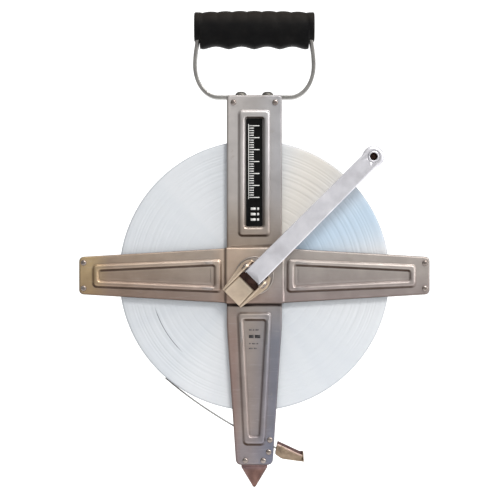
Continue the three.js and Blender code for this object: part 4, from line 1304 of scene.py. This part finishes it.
def crank_bracket():
    """Base, two walls that rise to the pivot's ears, and the raised pad."""
    start, end, wall, half, base, sheet, ear = -29.6, 9, 10.2, 12, 15.8, 1.5, 5
    mesh = bmesh.new()
    side = [Vector((start, base)), Vector((end, base)), Vector((ear, PIVOT.z))]
    side += arc((0, PIVOT.z), (ear, ear), 0, 180, 18)[1:]
    side += [Vector((-11.5, 21.5)), Vector((start + 0.8, 18.6)), Vector((start, 17.8))]
    # The walls are drawn as (u, z) with height v, and stood up.
    stood_up = Matrix(((1, 0, 0, 0), (0, 0, -1, 0), (0, 1, 0, 0), (0, 0, 0, 1)))
    for low, high in ((-half, -wall), (wall, half)):
        bmesh.ops.transform(mesh, matrix=stood_up, verts=prism(mesh, side, low, high))
    flare = [(start, half - 0.2), (-6, 15.6), (0, 16.4), (4, 15.4), (end, half)]
    outline = [(u, -v) for u, v in flare] + list(reversed(flare))
    prism(mesh, outline, base, base + sheet)
    floor_start, floor_end, floor_half = -10, end - 0.6, wall + 0.1
    floor_top = base + sheet + 0.06
    floor = oblong(floor_start, -floor_half, floor_end, floor_half, 0)
    prism(mesh, [corner[:2] for corner in floor], base + 0.2, floor_top)
    # The pad is a pressed tray: its top is raised a little inside a rounded border.
    pad_end, pad_half, pad_top = -9.9, 9.6, 19.7
    corners = oblong(start, -pad_half, pad_end, pad_half, 1.2)
    rows = [[(*p, base + 0.1) for p in rounded(corners, 5)]]
    for distance, below in ((0, 0.7), (0.2, 0.25), (0.7, 0), (1.5, 0), (1.9, 0.06), (2.4, 0.1)):
        rows.append([(*p, pad_top - below) for p in rounded(inset(corners, distance), 5)])
    made = loft(mesh, rows)
    mesh.faces.new(made[-1])
    mesh.faces.new(list(reversed(made[0])))
    looks = (PAD_STEEL, "reel", "plate_steel", "crank_bracket")
    piece = finished(mesh, "folded_bracket", *looks, CRANK_TURN)
    # The floor under the arm is painted dark as painted shade.
    painted(piece, OIL_AND_SHADE, lambda middle, normal: (
        normal.y < -0.9 and abs(middle.z - floor_top) < 0.03
    ))
    weighted(bevelled(piece, 0.4, 3, 40))


def crank_pivot():
    """The rivet that the arm folds on, and a washer at each of its sides."""
    seat = 12.02
    head = dome(4, seat, 1.87, flat=1.0)
    place = CRANK_TURN @ about((0, 0, PIVOT.z))
    looks = (ZINC, "reel", "plated_fasteners", "crank_pin")
    turned("pivot_rivet", mirrored([*head, (2.4, seat)]), 36, looks, place=place)
    washer = [(2.7, 9.2), (5, 9.2), (5, 9.9), (2.7, 9.9)]
    for side, turn in (("left", 0), ("right", math.pi)):
        looks = (ZINC, "reel", "plated_fasteners", f"crank_washer_{side}")
        flipped = place @ Matrix.Rotation(turn, 4, "X")
        turned(f"pivot_washer_{side}", washer, 36, looks, (0.15, 2), place=flipped)


def knob_parts():
    place = CRANK_TURN @ Matrix.Translation((REACH, 0, 0))
    top, bottom = 27.3, 0.6
    profile = [
        (4.5, top), (8.4, top), (9.3, top - 0.7), (9.85, top - 2.2), (10, top - 5), (9.9, top - 8),
        (9.4, 15.5), (9.05, 12.5), (9.15, 9.5), (9.55, 6.5), (9.7, 4.2), (9.45, 2.2), (8.9, 1.1),
        (8, bottom), (6.2, bottom), (6.2, bottom + 2.6), (4.5, bottom + 2.6),
    ]
    looks = (CRANK_STEEL, "knob", "crank_steel", "crank_knob")
    weighted(turned("turned_knob", profile, 64, looks, (0.4, 2), place=place))
    seat = ARM_FACE + 0.04
    cup = [
        (0, seat - 5.4), (2.2, seat - 5.3), (3.0, seat - 4.6), (3.2, seat - 3), (3.35, seat + 0.1),
        (3.7, seat + 0.75), (4.2, seat + 1.0), (4.8, seat + 0.75), (5.2, seat + 0.2), (5.15, seat),
        (4.2, seat), (4.2, bottom + 2.3), (5.7, bottom + 2.3), (5.7, bottom + 1.4),
        (5.2, bottom + 1.1), (0, bottom + 1.1),
    ]
    looks = (CRANK_STEEL, "crank", "crank_steel", "knob_spindle")
    piece = turned("clinched_spindle", cup, 48, looks, place=place)

    # The spindle's bore is painted dark as painted shade.
    def in_bore(middle, _):
        x, y, z = place.inverted() @ middle
        return z > seat - 6 and math.hypot(x, y) < 3.3

    painted(piece, OIL_AND_SHADE, in_bore)
    weighted(piece)
    washer = [(4.5, top + 0.2), (7, top + 0.2), (7, 28.3), (4.5, 28.3)]
    looks = (NYLON, "crank", "nylon", "knob_washer")
    turned("knob_washer_cut", washer, 48, looks, (0.2, 2), place=place)


crank_arm()
crank_bracket()
crank_pivot()
knob_parts()

# ---------------------------------------------------------------- the tape's end

SLOPE = math.radians(-26.5)
ALONG = Vector((math.cos(SLOPE), math.sin(SLOPE)))
BETWEEN = Vector((13.75, -156.6))
HOOK_PIN = drawn_point(JOINTS["hook_fold"]["pos_m"])


def leader():
    """The free tape: off the pack on its tangent, between the rollers, rolled round the pin."""
    low, high = drawn_box("tape_leader")
    thickness, eye_radius = 0.6, 1.85
    radius = drawn_box("tape_pack")[1].x + thickness
    leaves = math.radians(229)
    start = Vector((math.cos(leaves), math.sin(leaves))) * radius
    tangent = Vector((-start.y, start.x)).normalized()
    a, b, c, d = start, start + tangent * 38, BETWEEN - ALONG * 40, BETWEEN
    line = []
    for t in spread(0, 1, 60):
        s = 1 - t
        line.append(s ** 3 * a + 3 * s * s * t * b + 3 * s * t * t * c + t ** 3 * d)
    eye_start = BETWEEN + ALONG * 12
    pin = Vector((HOOK_PIN.x, HOOK_PIN.y))
    first = math.atan2(eye_start.y - pin.y, eye_start.x - pin.x)
    for angle in spread(first, first + math.radians(290), 32):
        line.append(pin + Vector((math.cos(angle), math.sin(angle))) * eye_radius)
    mesh = bmesh.new()
    band(mesh, line, thickness, low.z, high.z, 0.12, False)
    finished(mesh, "free_tape", BLADE, "frame", "tape_blade", "tape_leader")


def hook():
    """A channel folded from sheet: two sides, a floor and a far end."""
    half = drawn_box("end_hook")[1].z
    within = half - 1
    side = [
        (19.2, -164.8, 0.8), (25.2, -169, 2), (46, -172, 1.2), (45.4, -162.8, 1), (42.3, -163.2, 1),
        (21.5, -153.6, 1.2),
    ]
    mesh = bmesh.new()
    prism(mesh, rounded(side, 5), -half, -within)
    # The near side is cut lower, and its top edge slopes, so the far side shows above it.
    foot = [*side[:2], (43.2, -171.5, 1)]
    back = [*foot, (44.6, -165.6, 0.6), (42.4, -164.9, 1), (21.2, -155.1, 0.8)]
    front = [*foot, (44.2, -166.8, 0.6), (42.2, -166.5, 1), (20.85, -156.6, 0.8)]
    rows = [[(*p, z) for p in rounded(back, 5)] for z in (within, within + 0.1)]
    rows.append([(*p, half) for p in rounded(front, 5)])
    made = loft(mesh, rows)
    mesh.faces.new(list(reversed(made[0])))
    mesh.faces.new(made[-1])
    floor = [
        (19.3, -164.7), (25.2, -168.9), (45.9, -171.9), (45.3, -162.9), (44.6, -163),
        (44.9, -170.8), (25.5, -167.7), (20.2, -164.1),
    ]
    prism(mesh, floor, -within - 0.2, within + 0.2)
    piece = finished(mesh, "folded_hook", TAN, "hook", "hook_steel", "end_hook")
    # Inside, the channel is painted dark with the rust finish as painted shade, and its sloping
    # edge gets a lighter finish as a painted highlight.
    painted(piece, RUST, lambda middle, normal: normal.y < -0.9 and middle.z < 0)
    painted(piece, HOOK_EDGE_HIGHLIGHT, lambda middle, normal: (
        middle.z > within + 0.2 and normal.z > 0.4 and -0.95 < normal.y < -0.1
    ))
    weighted(bevelled(piece, 0.3, 2, 40))
    seat = half + 0.02
    profile = mirrored([*dome(2.6, seat, 0.95, flat=0.6), (1.5, seat)])
    looks = (TAN, "hook", "hook_steel", "hook_pin")
    turned("hook_rivet", profile, 32, looks, centre=(HOOK_PIN.x, HOOK_PIN.y))


leader()
hook()

# ---------------------------------------------------------------- CAD pieces that stay

for node in ("drum_pin", "tape_anchor_screw"):
    kept = frame["nodes"][node]
    if not kept.material_slots:
        kept.data.materials.append(ZINC)
    for holder in kept.material_slots:
        holder.material = ZINC

# ---------------------------------------------------------------- stage, lights and camera

# How strongly the paper glows: in front, at its lowest and highest; beside and behind the reel.
GLOW_LOW, GLOW_HIGH, GLOW_SIDE, GLOW_BACK = 0.01, 0.52, 0.34, 0.95


def backdrop_paper():
    """Paper that glows: brightest behind the reel, and in front from low left to high right."""
    paper = Finish("pale_paper", Metallic=0.0)
    tone = paper.ranged(paper.noise(3, detail=2), 0.0, 1.0)
    colour = paper.mix(tone, (0.38, 0.38, 0.38), (0.42, 0.42, 0.42))
    x, y, z = paper.axes()
    above = paper.maths("SUBTRACT", z, HUB.z)
    aside = paper.maths("MAXIMUM", paper.maths("ABSOLUTE", x), above)
    aside = paper.maths("MULTIPLY_ADD", y, -0.115, aside)
    behind = paper.ranged(aside, GLOW_BACK, GLOW_SIDE, 0.32, 0.75)
    front = paper.ranged(y, 1, 0, -0.40, -0.12)
    graded = paper.ranged(paper.maths("MULTIPLY_ADD", x, 0.5, z), GLOW_LOW, GLOW_HIGH, -1.2, 1.6)
    glow = paper.maths("MULTIPLY_ADD", paper.maths("SUBTRACT", graded, behind), front, behind)
    paper.shader.inputs["Emission Color"].default_value = (1, 1, 1, 1)
    paper.feed(paper.shader.inputs["Emission Strength"], glow)
    return paper.surface(colour, 0.9)


def surroundings():
    """A pale floor that sweeps up into a domed backdrop, the same all the way round."""
    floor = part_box("ground_spike")[0].z - 0.001
    radius, sweep = 4.0, 1.6
    profile = [(0, floor), (radius - sweep, floor)]
    for angle in spread(0, math.pi / 2, 16)[1:]:
        rise = sweep * (1 - math.cos(angle))
        profile.append((radius - sweep * (1 - math.sin(angle)), floor + rise))
    for angle in spread(0, math.pi / 2, 12)[1:]:
        height = floor + sweep + radius * 0.8 * math.sin(angle)
        profile.append((radius * math.cos(angle), height))
    mesh = bmesh.new()
    lathe(mesh, profile, 96)
    bmesh.ops.remove_doubles(mesh, verts=mesh.verts, dist=1e-6)
    bmesh.ops.recalc_face_normals(mesh, faces=mesh.faces)
    bmesh.ops.reverse_faces(mesh, faces=mesh.faces)
    placed(mesh, "floor_sweep", backdrop_paper())


def softbox(name, position, size, power, tint=(1, 1, 1)):
    light = bpy.data.lights.new(name, "AREA")
    light.shape = "RECTANGLE"
    light.size, light.size_y = size
    light.energy = power
    light.color = tint
    lamp = bpy.data.objects.new(name, light)
    lamp.location = position
    aim = Vector((0, 0, HUB.z + 0.02)) - Vector(position)
    lamp.rotation_euler = aim.to_track_quat("-Z", "Y").to_euler()
    bpy.context.collection.objects.link(lamp)


surroundings()
softbox("key", (0.8, -1.1, 1.1), (0.4, 0.4), 21, (1.0, 0.98, 0.95))
softbox("right_side", (1.3, -0.3, 0.1), (0.3, 1.0), 6)
softbox("overhead", (0.1, -0.3, 1.2), (1.0, 0.3), 6)

world = bpy.data.worlds.new("studio")
world.use_nodes = True
background = world.node_tree.nodes["Background"].inputs
background["Color"].default_value = (1, 1, 1, 1)
background["Strength"].default_value = 0.6
bpy.context.scene.world = world
bpy.context.scene.view_settings.view_transform = "Standard"

FRAME_WIDTH = 0.460  # what the picture spans at the front plates
camera_data = bpy.data.cameras.new("camera")
camera_data.lens = 160
camera_data.sensor_width = 36
camera = bpy.data.objects.new("camera", camera_data)
distance = FRAME_WIDTH * camera_data.lens / camera_data.sensor_width
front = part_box("front_upright")[0].y
camera.location = (HUB.x - 0.004, front - distance, HUB.z + 0.0236)
camera.rotation_euler = (math.pi / 2, 0, 0)
bpy.context.collection.objects.link(camera)
bpy.context.scene.camera = camera
